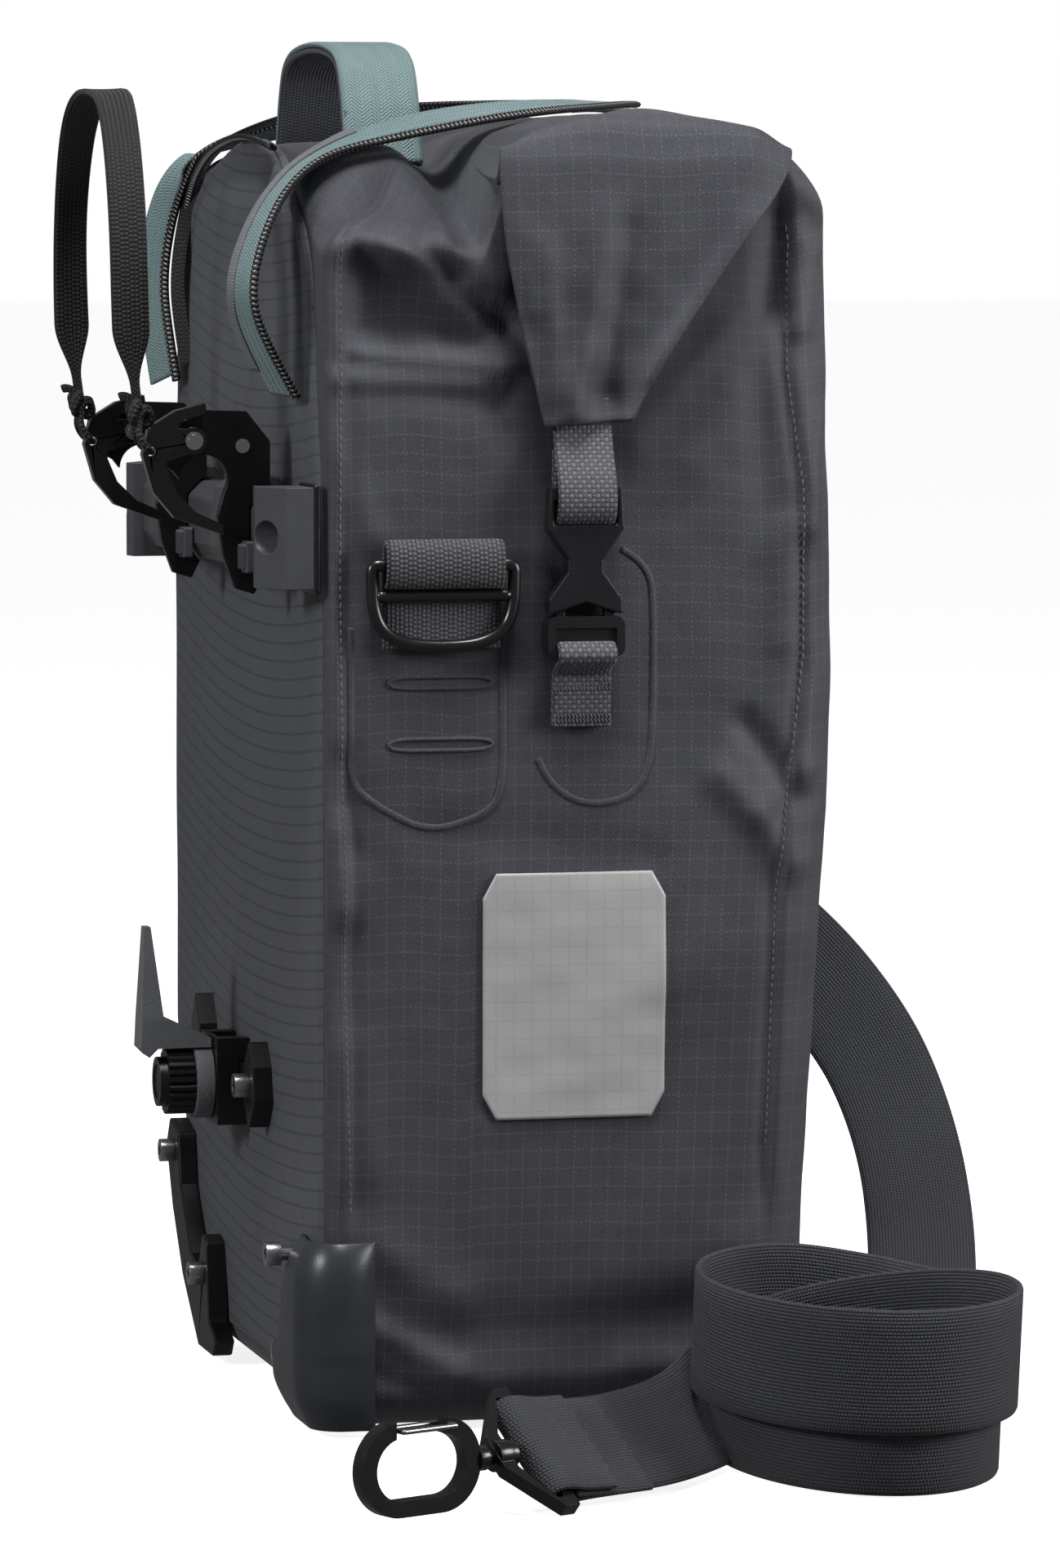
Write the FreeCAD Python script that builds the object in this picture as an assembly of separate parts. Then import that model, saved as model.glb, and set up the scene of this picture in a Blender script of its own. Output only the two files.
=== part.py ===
import FreeCAD, Part
import math
import os

# A roll-top bicycle pannier with rack hooks, lower hook, guards and shoulder strap.
# Millimetres. X runs across the bag, Y from the front towards the rack side, Z up.
# The origin is on the ground under the middle of the bag.

V = FreeCAD.Vector
X_AXIS, Y_AXIS, Z_AXIS = V(1, 0, 0), V(0, 1, 0), V(0, 0, 1)

# Fabric body
BAG_HALF_WIDTH = 136.0
BAG_FRONT = -90.0
BAG_BACK = 84.0
BAG_TOP = 404.0
WALL = 2.5
SIDE_FACE = 137.3          # where parts sewn on a side start
SECTIONS = [               # height, half width, front, back, corner radius
    (0.0, 127.0, -79.0, 79.0, 12.0),
    (9.0, 133.0, -80.0, BAG_BACK, 14.0),
    (60.0, 135.0, -81.5, BAG_BACK, 14.0),
    (150.0, 135.5, -86.0, BAG_BACK, 15.0),
    (205.0, BAG_HALF_WIDTH, BAG_FRONT, BAG_BACK, 16.0),
    (310.0, BAG_HALF_WIDTH, BAG_FRONT, BAG_BACK, 16.0),
    (BAG_TOP, 133.0, -84.0, BAG_BACK, 15.0),
]
HEEL_CUT = [(141.0, 112.0), (136.5, 112.0), (113.0, 62.0), (82.0, 24.0), (42.0, -1.0), (141.0, -1.0)]
MOUTHS = ((-122.0, 122.0, -70.0, 18.0), (-88.0, 88.0, 59.0, 76.0))   # main space, rear sleeve
SLEEVE_Y = 56.0            # divider between the main space and the rear sleeve

# Back skin and rear lid
SKIN = 1.5
BACK_FACE = BAG_BACK + 0.2 + SKIN
LID_HALF_WIDTH = 104.0
LID_TOP = 430.0
LID_FRONT = 24.0

# Roll closure
ROLL_TOP = 430.0
ROLL_FRONT = -86.0
ROLL_BACK = 22.0
FLAP_OUT, FLAP_IN = 146.5, 142.2

# Rear zip: how far the middle of the chain lies from the middle of the tape
CHAIN_OFFSET = 9.8

# Mounting rail and rack hooks
RAIL_BACK, RAIL_FRONT = 88.0, 100.5
RAIL_LOW, RAIL_HIGH = 284.0, 311.0
RAIL_HALF = 112.0
HOOK_X = (-89.0, 24.0)
HOOK_PLATE = 4.0
SEAT_Y, SEAT_Z, SEAT_R = 116.5, 315.5, 8.1
PIVOT_Y, PIVOT_Z = 121.0, 328.5
PIVOT_PIN = 2.0
LEVER_GAP = 0.5
LEVER_THICK = 5.6

# Bolts through the back of the bag: x and z
NEAR_GUARD_BOLTS = ((-104.0, 57.0), (-76.0, 19.0))
FAR_GUARD_BOLTS = ((96.0, 67.0), (41.0, 30.0))
BRIDGE_BOLTS = ((-47.0, 107.0), (50.0, 110.0))
BOLT_SPOTS = NEAR_GUARD_BOLTS + FAR_GUARD_BOLTS + BRIDGE_BOLTS
BOLT_HOLE = 2.6

# Lower hook
ARM_X, ARM_Z = -4.0, 104.0
KNOB_R = 11.4
RING_R = 13.0
STUD_R = 3.0

# Side buckles and D-rings
BUCKLE_Y = -0.7
BUCKLE_X = 143.6
WEB_WIDTH = 20.0
RING_PIN_X, RING_PIN_Z = 141.8, 288.5
RING_Y = 46.2
RING_WIRE = 4.4
FAR_RING_TILT = 30.0
GATE_WIRE = 0.9

# Shoulder strap
STRAP_WIDTH, STRAP_THICK = 40.0, 2.4
COIL_X, COIL_Y, COIL_A, COIL_B = -219.0, -73.0, 81.0, 52.0
COIL_HEIGHT = 61.0
COIL_WALL = 13.0
STRAP_RISE = [             # centre of the webbing from the far hook down, across the ground and to the coil
    (156.9, 2.5, 233.5), (155.1, -40.0, 203.0), (153.5, -84.0, 177.0), (152.5, -126.0, 151.0),
    (150.0, -158.0, 124.0), (143.0, -177.5, 98.0), (134.0, -186.0, 78.0), (122.0, -191.0, 54.0),
    (108.0, -191.0, 30.0), (88.0, -186.0, 10.0), (60.0, -176.0, 2.4), (28.0, -170.0, 2.2),
    (-12.0, -164.0, 2.6), (-50.0, -156.0, 11.0), (-84.0, -146.0, 19.0), (-108.0, -136.0, 24.0),
    (-128.0, -117.0, 30.0), (-148.5, -98.8, 36.0),
]
RISE_EDGE = [              # the webbing's width direction at each of those points
    (0.0, 0.6, -0.8), (0.0, 0.6, -0.8), (0.0, 0.62, -0.78), (0.0, 0.75, -0.66),
    (0.0, 0.85, -0.52), (0.0, 0.9, -0.43), (-0.05, 0.93, -0.37), (-0.09, 0.93, -0.36),
    (-0.05, 0.95, -0.3), (0.0, 1.0, -0.1), (0.0, 1.0, 0.0), (0.0, 1.0, 0.0),
    (0.05, 1.0, 0.0), (0.1, 0.9, -0.4), (0.1, 0.6, -0.75), (0.0, 0.3, -0.95),
    (0.0, 0.0, -1.0), (0.0, 0.0, -1.0),
]
STRAP_TAIL = [(-208.0, -20.5, 22.0), (-232.0, -5.0, 19.0), (-256.0, 12.0, 17.0), (-269.0, 29.0, 16.6),
              (-277.8, 44.3, 17.6)]
TAIL_EDGE = [(0.0, 0.0, -1.0), (-0.3, -0.45, -0.8), (-0.5, -0.6, -0.6), (-0.66, -0.36, -0.64), (-0.69, -0.32, -0.64)]

os.makedirs("parts", exist_ok=True)


def save(name, *shapes):
    """Writes one node, as one solid or as a group of separate solids."""
    shape = shapes[0] if len(shapes) == 1 else Part.makeCompound(list(shapes))
    if len(shape.Solids) == 1:
        shape = shape.Solids[0]
    bad = [s for s in shape.Solids if not s.isValid() or s.Volume < 0.5]
    print(name, len(shape.Solids), "solids", round(shape.Volume, 1), "mm3", "BAD" if bad or not shape.Solids else "")
    shape.exportStep("parts/" + name + ".step")


def block(x0, x1, y0, y1, z0, z1):
    return Part.makeBox(x1 - x0, y1 - y0, z1 - z0, V(x0, y0, z0))


def rod(centre, axis, radius, length):
    """A cylinder centred on a point."""
    start = V(*centre) - axis * (length / 2)
    return Part.makeCylinder(radius, length, start, axis)


def face_of(points):
    return Part.Face(Part.makePolygon([V(*p) for p in list(points) + [points[0]]]))


def slab_x(outline, x0, x1):
    """An outline of (y, z) points made solid from x0 to x1."""
    return face_of([(x0, y, z) for y, z in outline]).extrude(V(x1 - x0, 0, 0))


def slab_y(outline, y0, y1):
    """An outline of (x, z) points made solid from y0 to y1."""
    return face_of([(x, y0, z) for x, z in outline]).extrude(V(0, y1 - y0, 0))


def slab_z(outline, z0, z1):
    """An outline of (x, y) points made solid from z0 to z1."""
    return face_of([(x, y, z0) for x, y in outline]).extrude(V(0, 0, z1 - z0))


def ring_points(count, radius, y, z):
    step = 2 * math.pi / count
    return [(y + radius * math.cos(i * step), z + radius * math.sin(i * step)) for i in range(count)]


def rounded(shape, axis, radius):
    """Rounds the straight edges that run along an axis."""
    edges = []
    for edge in shape.Edges:
        if edge.Curve.TypeId == "Part::GeomLine" and abs(edge.tangentAt(edge.FirstParameter).dot(axis)) > 0.999:
            edges.append(edge)
    return shape.makeFillet(radius, edges)


def drilled(shape):
    """Cuts the bolt holes through the back."""
    for x, z in BOLT_SPOTS:
        shape = shape.cut(rod((x, BAG_BACK, z), Y_AXIS, BOLT_HOLE, 40))
    return shape


def joined(first, *others):
    return first.multiFuse(list(others)).removeSplitter()


def to_far_side(shape):
    return shape.mirror(V(0, 0, 0), X_AXIS)


def section_wire(height, half, front, back, radius):
    """A rounded rectangle of the bag at one height."""
    arc = radius * (1 - math.sqrt(0.5))
    ends = []
    for x, y, sx, sy in ((half, front, 1, 1), (half, back, 1, -1), (-half, back, -1, -1), (-half, front, -1, 1)):
        along_x = V(x - sx * radius, y, height)
        along_y = V(x, y + sy * radius, height)
        middle = V(x - sx * arc, y + sy * arc, height)
        ends.append((along_x, middle, along_y) if sx == sy else (along_y, middle, along_x))
    edges = []
    for i, (start, middle, end) in enumerate(ends):
        edges.append(Part.Arc(start, middle, end).toShape())
        edges.append(Part.LineSegment(end, ends[(i + 1) % 4][0]).toShape())
    return Part.Wire(edges)


def bag_form(inset, low, high):
    """The bag's filled form, inset by a wall and cut off at the inset floor and top."""
    wires = []
    for i, (height, half, front, back, radius) in enumerate(SECTIONS):
        level = low if i == 0 else high if i == len(SECTIONS) - 1 else height
        wires.append(section_wire(level, half - inset, front + inset, back - inset, radius - inset / 2))
    form = Part.makeLoft(wires, True, True)
    shift = V(-inset, 0, inset * 0.7)
    cut = slab_y(HEEL_CUT, -120, 120)
    cut.translate(shift)
    return form.cut(cut)


def spline_points(points, per_span):
    """Points on the clamped quadratic spline that a list of control points gives."""
    ctrl = [V(*p) for p in points]
    mids = [ctrl[0]] + [(a + b) * 0.5 for a, b in zip(ctrl[1:-2], ctrl[2:-1])] + [ctrl[-1]]
    out = [mids[0]]
    for i in range(len(mids) - 1):
        a, b, c = mids[i], ctrl[i + 1], mids[i + 1]
        for k in range(1, per_span + 1):
            t = k / per_span
            out.append(a * (1 - t) ** 2 + b * (2 * t * (1 - t)) + c * t ** 2)
    return out


def ribbon(points, edges, width, thick, per_span=2):
    """Webbing: thin cross-sections along a spline, its width along the given edge directions."""
    path = spline_points(points, per_span)
    sides = spline_points(edges, per_span)
    wires = []
    for i, at in enumerate(path):
        ahead = (path[min(i + 1, len(path) - 1)] - path[max(i - 1, 0)]).normalize()
        side = V(sides[i])
        side = (side - ahead * side.dot(ahead)).normalize() * (width / 2)
        face = ahead.cross(side).normalize() * (thick / 2)
        corners = [at + side + face, at - side + face, at - side - face, at + side - face]
        wires.append(Part.makePolygon(corners + [corners[0]]))
    print("  webbing", round(sum(a.distanceToPoint(b) for a, b in zip(path, path[1:])), 1), "mm long")
    return Part.makeLoft(wires, True, True)


def placed(shape, u, v, origin):
    """Moves a shape drawn in the u-v plane to its frame."""
    u, v = V(*u).normalize(), V(*v).normalize()
    w = u.cross(v)
    matrix = FreeCAD.Matrix(u.x, v.x, w.x, origin[0], u.y, v.y, w.y, origin[1], u.z, v.z, w.z, origin[2], 0, 0, 0, 1)
    moved = shape.copy()
    moved.Placement = FreeCAD.Placement(matrix)
    return moved


# ---- fabric body -------------------------------------------------------

def main_shell():
    outer = bag_form(0.0, 0.0, BAG_TOP)
    inner = bag_form(WALL, WALL, BAG_TOP - WALL)
    shell = outer.cut(inner)
    for x0, x1, y0, y1 in MOUTHS:
        shell = shell.cut(block(x0, x1, y0, y1, BAG_TOP - 10, BAG_TOP + 5))
    save("main_shell", drilled(shell))


def inner_parts():
    divider = block(-124, 124, SLEEVE_Y, SLEEVE_Y + 2, 114, 386)
    save("sleeve_divider", divider)
    back_outline = [(-118, 12), (34, 12), (72, 36), (100, 70), (118, 112), (118, 388), (-118, 388)]
    save("back_board", drilled(slab_y(back_outline, 77.8, 81.2)))
    save("base_board", rounded(block(-122, 33, -73, 73, 3.2, 6.2), Z_AXIS, 11))
    patches = []
    for side in (-1, 1):
        x0 = 132.0 * side
        x1 = 131.2 * side
        for y0, y1, z0, z1 in ((25, 54, 205, 300), (-26, 14, 213, 292)):
            patches.append(block(min(x0, x1), max(x0, x1), y0, y1, z0, z1))
    save("inner_patches", *patches)


def back_skin():
    low = [(-131, 14), (46, 14), (80, 30), (108, 64), (129, 110), (130, 330), (112, 384)]
    points = [V(x, BAG_BACK + 0.2, z) for x, z in low]
    end = V(-112, BAG_BACK + 0.2, 384)
    edges = [Part.LineSegment(a, b).toShape() for a, b in zip(points, points[1:])]
    edges.append(Part.Arc(points[-1], V(0, BAG_BACK + 0.2, LID_TOP - 1), end).toShape())
    edges.append(Part.LineSegment(end, V(-130, BAG_BACK + 0.2, 330)).toShape())
    edges.append(Part.LineSegment(V(-130, BAG_BACK + 0.2, 330), points[0]).toShape())
    save("back_panel", drilled(Part.Face(Part.Wire(edges)).extrude(V(0, SKIN, 0))))


def rear_lid():
    """The arched top of the rear sleeve, a fabric cap behind the roll, open below."""
    z0 = BAG_TOP + 0.4

    def arch(inset, y0, y1, base):
        half = LID_HALF_WIDTH - inset
        left, top, right = V(-half, y0, base), V(0, y0, LID_TOP - inset), V(half, y0, base)
        edges = [Part.Arc(left, top, right).toShape(), Part.LineSegment(right, left).toShape()]
        return Part.Face(Part.Wire(edges)).extrude(V(0, y1 - y0, 0))

    cap = arch(0.0, LID_FRONT, BAG_BACK, z0).cut(arch(WALL, LID_FRONT + WALL, BAG_BACK - WALL, z0 - 1))
    save("rear_lid", cap)


def roll_closure():
    outline = [(ROLL_FRONT + 3, BAG_TOP + 0.4), (ROLL_FRONT, 412), (ROLL_FRONT + 4, 424), (ROLL_FRONT + 16, ROLL_TOP),
               (ROLL_BACK - 8, ROLL_TOP + 4), (ROLL_BACK, ROLL_TOP - 2), (ROLL_BACK, BAG_TOP + 0.4)]
    roll = slab_x(outline, -134, 134)
    pocket = block(-131, 131, -42.3, -15.7, 416.7, 419.3)
    save("rolled_top", roll.cut(pocket))
    save("closure_stiffener", block(-130.6, 130.6, -42, -16, 417, 419))
    flap = [(28, 428), (26, 394), (16.4, 334), (-18.3, 338), (-65.7, 411.5), (-62, 428)]
    near = joined(slab_x(flap, -FLAP_OUT, -FLAP_IN), block(-FLAP_IN - 0.1, -134.2, -60, 21, 409, 427))
    save("roll_ends", near, to_far_side(near))


def zip_parts():
    """The open zip of the rear sleeve: a tape and a chain on each side that meet in an end tab."""
    near = [(-106, 93, 344), (-111, 104, 362), (-114, 108.5, 378), (-108, 103, 396), (-98, 93, 412),
            (-90, 78, 424), (-86, 50, 433), (-72, 6, 440.2), (-42, -28, 441), (-10, -42, 441)]
    flat = [(0.9, 0.35, 0.1), (0.95, 0.25, 0.0), (0.97, 0.2, -0.05), (0.9, 0.3, -0.3), (0.8, 0.35, -0.3),
            (0.75, 0.4, -0.1), (0.9, 0.1, 0.35), (0.8, 0.55, 0.2), (0.55, 0.8, 0.1), (0.3, 0.9, 0.0)]
    far = [(108, 94, 344), (113, 96, 362), (116, 97, 380), (112, 95, 400), (102, 91, 416), (92, 84, 426),
           (88, 50, 434), (74, 6, 440.2), (44, -26, 441), (10, -41, 441)]
    flat_far = [(0.8, 0.55, 0.0), (0.8, 0.6, 0.0), (0.8, 0.6, 0.0), (0.8, 0.55, -0.1), (0.85, 0.3, -0.1),
                (0.9, 0.1, -0.2), (0.9, -0.1, -0.35), (0.8, -0.55, -0.2), (0.55, -0.8, -0.1), (0.3, -0.9, 0.0)]
    tapes, chains = [], []
    for route, side in ((near, flat), (far, flat_far)):
        edge = [V(*point) - V(*across).normalize() * CHAIN_OFFSET for point, across in zip(route, side)]
        tapes.append(ribbon(route, side, 14.0, 1.6))
        chains.append(ribbon(edge, side, 4.2, 2.6))
    save("zip_tapes", *tapes)
    save("zip_chains", *chains)
    save("zip_end_tab", block(-9, 9, -54, -37, 436, 439.4))


def carry_handle():
    """A webbing loop on the lid, 27 mm wide."""
    half, top, foot = 50.0, 461.5, LID_TOP - 4
    outer = [(-half - 8, foot), (-half, 440), (-38, 456), (-18, top), (18, top), (38, 456), (half, 440), (half + 8, foot)]
    inner = [(half + 3.6, foot), (half - 4.6, 438), (35.4, 452.4), (16.8, top - 4.4), (-16.8, top - 4.4),
             (-35.4, 452.4), (-half + 4.6, 438), (-half - 3.6, foot)]
    save("carry_handle", slab_y(outer + inner, 35, 62))


# ---- rail, hooks and levers ----------------------------------------------

def rail_parts():
    profile = [(RAIL_BACK, RAIL_LOW), (RAIL_FRONT - 4, RAIL_LOW), (RAIL_FRONT, RAIL_LOW + 6),
               (RAIL_FRONT, RAIL_HIGH - 5), (RAIL_FRONT - 5, RAIL_HIGH), (RAIL_BACK, RAIL_HIGH)]
    save("mounting_rail", slab_x(profile, -RAIL_HALF, RAIL_HALF))
    plates, caps, screws = [], [], []
    for side in (-1, 1):
        far = side > 0
        plate = block(-135, -108, BACK_FACE + 0.1, RAIL_BACK - 0.1, 279, 315)
        plate = plate.cut(rod((-125, RAIL_BACK, 297.5), Y_AXIS, 2.7, 12))
        outline = [(-134.5, 88), (-RAIL_HALF - 0.2, 88), (-RAIL_HALF - 0.2, 104), (-120, 105), (-134.5, 97)]
        cap = slab_z(outline, 280.5, 314.0)
        cap = cap.cut(rod((-125, 100, 297.5), Y_AXIS, 5.4, 14)).cut(rod((-125, 92, 297.5), Y_AXIS, 2.7, 12))
        screw = joined(rod((-125, 95.6, 297.5), Y_AXIS, 4.8, 4.8), rod((-125, 90.5, 297.5), Y_AXIS, 2.4, 9.0))
        screw = screw.cut(rod((-125, 98, 297.5), Y_AXIS, 2.0, 3))
        for group, piece in ((plates, plate), (caps, cap), (screws, screw)):
            group.append(to_far_side(piece) if far else piece)
    save("rail_plates", *plates)
    save("rail_caps", *caps)
    save("rail_screws", *screws)


def hook_plate(x):
    """The dark hook that grips the rail and sits on a rack tube."""
    outline = [(94, RAIL_HIGH + 0.6), (94, 328), (102, 338), (118, 338.5), (128.5, 331), (130, 320), (127, 318.5),
               (124.6, SEAT_Z), (108.4, SEAT_Z), (111.8, 303), (110, 290), (106, 279), (99.5, 277.0),
               (96.4, RAIL_LOW - 0.6), (97.2, RAIL_LOW - 0.6), (RAIL_FRONT + 0.6, RAIL_LOW + 5.4),
               (RAIL_FRONT + 0.6, RAIL_HIGH - 4.8), (RAIL_FRONT - 4.8, RAIL_HIGH + 0.6)]
    plate = slab_x(outline, x - HOOK_PLATE / 2, x + HOOK_PLATE / 2)
    plate = plate.cut(rod((x, SEAT_Y, SEAT_Z), X_AXIS, SEAT_R, 12))
    return plate.cut(rod((x, PIVOT_Y, PIVOT_Z), X_AXIS, PIVOT_PIN + 0.05, 12))


def hook_grip(x):
    """The ribbed slider that clamps a hook on the rail."""
    start, end = x + HOOK_PLATE / 2 + 0.1, x + 30
    y0 = RAIL_FRONT + 0.5
    outline = [(y0, 287), (y0 + 5, 287), (y0 + 8, 292), (y0 + 6, 312), (y0, 316), (90, 316), (90, RAIL_HIGH + 0.5),
               (RAIL_FRONT - 4.8, RAIL_HIGH + 0.5), (y0, RAIL_HIGH - 4.6)]
    grip = slab_x(outline, start, end)
    ribs = [block(x - 11.5 + i * 2.4, x - 10.3 + i * 2.4, y0 + 3.0, y0 + 4.4, 285.5, 294) for i in range(4)]
    shoe = block(x - 12.5, x - HOOK_PLATE / 2 - 0.1, y0, y0 + 3.0, 284.5, 295)
    return grip, joined(shoe, *ribs)


def lever(x):
    """The crescent that closes the hook mouth and swings open when its strap is pulled."""
    x1 = x - HOOK_PLATE / 2 - LEVER_GAP
    x0 = x1 - LEVER_THICK
    crescent = [(110.5, 297.0), (127.5, 303), (134.6, 311.5), (138.2, 324), (136, 333), (127, 338.5), (117, 341),
                (116.5, 337.5), (124.5, 335.0), (129.5, 328), (130.0, 319), (126.6, 311), (120, 304.6), (111, 300.6)]
    boss = rod(((x0 + x1) / 2, PIVOT_Y, PIVOT_Z), X_AXIS, 4.6, LEVER_THICK)
    arm = slab_x([(120, 325), (122, 332.5), (131, 333), (131, 321)], x0, x1)
    body = joined(slab_x(crescent, x0, x1), boss, arm)
    eye = rod(((x0 + x1) / 2, 135.0, 325.0), X_AXIS, 1.6, 20)
    return body.cut(eye).cut(rod(((x0 + x1) / 2, PIVOT_Y, PIVOT_Z), X_AXIS, PIVOT_PIN + 0.05, 20))


def knot(x):
    """The short tied end of the pull strap on a lever."""
    mid = x - HOOK_PLATE / 2 - LEVER_GAP - LEVER_THICK / 2
    through = rod((mid, 135, 325), X_AXIS, 1.45, LEVER_THICK + 5)
    sides = [block(mid + s * 4.2 - 1.2, mid + s * 4.2 + 1.2, 134, 142, 323.5, 333) for s in (-1, 1)]
    head = block(mid - 5.4, mid + 5.4, 136.4, 144.6, 333.0, 342.0)
    return joined(head, through, *sides)


def hooks_and_levers():
    for name, x in zip(("near", "far"), HOOK_X):
        save("hook_plate_" + name, hook_plate(x))
        grip, shoe = hook_grip(x)
        save("hook_grip_" + name, grip, shoe)
        pin = rod((x - 3.1, PIVOT_Y, PIVOT_Z), X_AXIS, PIVOT_PIN, LEVER_THICK + HOOK_PLATE + 3.0)
        head = rod((x - HOOK_PLATE / 2 - LEVER_GAP - LEVER_THICK - 0.8, PIVOT_Y, PIVOT_Z), X_AXIS, 3.0, 0.9)
        stud = rod((x - HOOK_PLATE / 2 - 0.55, 103.5, 326.5), X_AXIS, 2.4, 1.0)
        save("hook_rivets_" + name, joined(pin, head), stud)
        save("lever_" + name, lever(x))
        save("pull_knot_" + name, knot(x))
    mid = [x - HOOK_PLATE / 2 - LEVER_GAP - LEVER_THICK / 2 for x in HOOK_X]
    low, shoulder, top = 345.2, 424.0, 445.0
    outer = [(mid[0] - 1, low), (mid[0] - 1, 400), (mid[0] + 9, shoulder + 2), (mid[0] + 32, top),
             (mid[1] - 36, top), (mid[1] - 10, shoulder + 2), (mid[1] + 1, 400), (mid[1] + 1, low)]
    inner = [(mid[1] - 1, low), (mid[1] - 1, 399), (mid[1] - 11.5, shoulder), (mid[1] - 36, top - 2),
             (mid[0] + 32, top - 2), (mid[0] + 10.5, shoulder), (mid[0] + 1, 399), (mid[0] + 1, low)]
    save("pull_strap", slab_y(outer + inner, 136.0, 149.0))


# ---- lower hook ------------------------------------------------------------

def oval(x, z, tall, wide, y0, y1):
    points = [(x, z - tall), (x + wide, z - tall * 0.35), (x + wide * 0.8, z + tall * 0.45), (x, z + tall),
              (x - wide * 0.8, z + tall * 0.45), (x - wide, z - tall * 0.35)]
    return slab_y(points, y0, y1)


def lower_hook():
    bar = block(-47, 50, 87.4, 91.0, 100, 112)
    lugs = [oval(x, z, tall, 9.5, BACK_FACE + 0.1, 93.6) for (x, z), tall in zip(BRIDGE_BOLTS, (15.0, 19.0))]
    save("lower_bridge", drilled(joined(bar, *lugs)))
    save("bridge_bolts", *[bolt(x, z, 93.7, BACK_FACE - 12) for x, z in BRIDGE_BOLTS])
    bracket = block(ARM_X - 15, ARM_X + 15, 91.4, 98.8, 90, 120)
    clips = [block(ARM_X - 15, ARM_X + 15, 87.4, 91.4, 112.4, 120), block(ARM_X - 15, ARM_X + 15, 87.4, 91.4, 90, 99.6)]
    bracket = joined(bracket, *clips).cut(block(ARM_X - 8, ARM_X + 8, 86, 97, 114.5, 125))
    bracket = joined(bracket, rod((ARM_X, 106.4, ARM_Z), Y_AXIS, STUD_R, 15.8))
    save("hook_carriage", bracket)
    bore = rod((ARM_X, 104, ARM_Z), Y_AXIS, STUD_R + 0.05, 40)
    collar = rod((ARM_X, 102.1, ARM_Z), Y_AXIS, RING_R, 6.0)
    foot = [(99.3, ARM_Z + 12.2), (104.9, ARM_Z + 12.2), (118.0, ARM_Z + 12.0), (121.0, ARM_Z + 9), (124.0, ARM_Z + 12),
            (122.0, 158), (119.8, 158), (116.0, 127), (104.0, 121.2), (99.3, 119.4)]
    arm = slab_x(foot, ARM_X - 7, ARM_X + 7)
    wedge = [(-7, 110), (7, 110), (7, 126), (3, 159), (-3, 159), (-7, 126)]
    arm = arm.common(slab_y([(ARM_X + x, z) for x, z in wedge], 90, 130))
    save("hook_arm", joined(collar, arm).cut(bore))
    teeth = 24
    points = []
    for i in range(teeth):
        for k, radius in ((0.0, KNOB_R - 0.9), (0.3, KNOB_R), (0.7, KNOB_R)):
            angle = 2 * math.pi * (i + k) / teeth
            points.append((ARM_X + radius * math.cos(angle), ARM_Z + radius * math.sin(angle)))
    knob = slab_y(points, 105.4, 114.6).cut(bore)
    save("lock_knob", joined(knob, rod((ARM_X, 116.0, ARM_Z), Y_AXIS, 8.6, 2.8)).cut(rod((ARM_X, 117.6, ARM_Z), Y_AXIS, 6, 1.4)))


def bolt(x, z, seat, inside):
    """A socket-head bolt through the back of the bag."""
    head = rod((x, seat + 2.5, z), Y_AXIS, 4.1, 5.0).cut(slab_y(
        [(x + 2.1 * math.cos(a * math.pi / 3), z + 2.1 * math.sin(a * math.pi / 3)) for a in range(6)], seat + 2.4, seat + 6))
    shank = rod((x, (seat + inside) / 2, z), Y_AXIS, 2.4, seat - inside)
    return joined(head, shank)


# ---- guards ------------------------------------------------------------------

def guards():
    y0 = BACK_FACE + 0.1
    near_outline = [(-140, 4), (-134, 0), (-106, 0), (-86, 6), (-78, 14), (-76, 24), (-90, 26), (-94, 38), (-100, 52),
                    (-109, 68), (-119, 69), (-124, 62.5), (-140, 62.5)]
    near = joined(slab_y(near_outline, y0, 94), block(-140, -137.4, 80, y0 + 0.1, 4, 62.5))
    near = near.cut(slab_y([(x, z) for x, z in ring_points(16, 6, -76, 19)], y0 - 1, 95))
    far_outline = [(88, 74), (104, 78), (111, 68), (99, 46), (80, 24), (50, 3), (22, 3), (17, 9), (30, 14), (34, 42),
                   (42, 44), (50, 30), (64, 34), (84, 56)]
    far = slab_y(far_outline, y0, 93)
    bolts = [bolt(*NEAR_GUARD_BOLTS[0], 94.1, BACK_FACE - 12), bolt(*NEAR_GUARD_BOLTS[1], BACK_FACE + 0.3, BACK_FACE - 12)]
    bolts += [bolt(x, z, 93.1, BACK_FACE - 12) for x, z in FAR_GUARD_BOLTS]
    nuts = [rod((x, 75.7, z), Y_AXIS, 4.5, 3.6).cut(rod((x, 75.7, z), Y_AXIS, 2.45, 5)) for x, z in BOLT_SPOTS]
    save("corner_guard_near", drilled(near))
    save("heel_guard_far", drilled(far))
    save("guard_bolts", *bolts)
    save("inner_nuts", *nuts)


# ---- side fittings -------------------------------------------------------------

def buckle_male():
    """Upper half of a side-release buckle: a waisted plate with two prongs and a webbing slot."""
    y = BUCKLE_Y
    outline = [(y - 12, 314), (y + 12, 314), (y + 12.8, 300), (y + 6, 290), (y + 6, 286), (y + 12.5, 277), (y + 12.5, 272),
               (y + 6, 274), (y, 276), (y - 6, 274), (y - 12.5, 272), (y - 12.5, 277), (y - 6, 286), (y - 6, 290), (y - 12.8, 300)]
    plate = slab_x(outline, -BUCKLE_X - 4, -BUCKLE_X + 3.4)
    plate = plate.cut(block(-155, -130, y - 10.6, y + 10.6, 301.5, 309.5))
    prongs = [block(-BUCKLE_X - 2, -BUCKLE_X + 2, y + s * 8.3 - 1.6, y + s * 8.3 + 1.6, 263, 275) for s in (-1, 1)]
    return joined(plate, *prongs)


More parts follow.
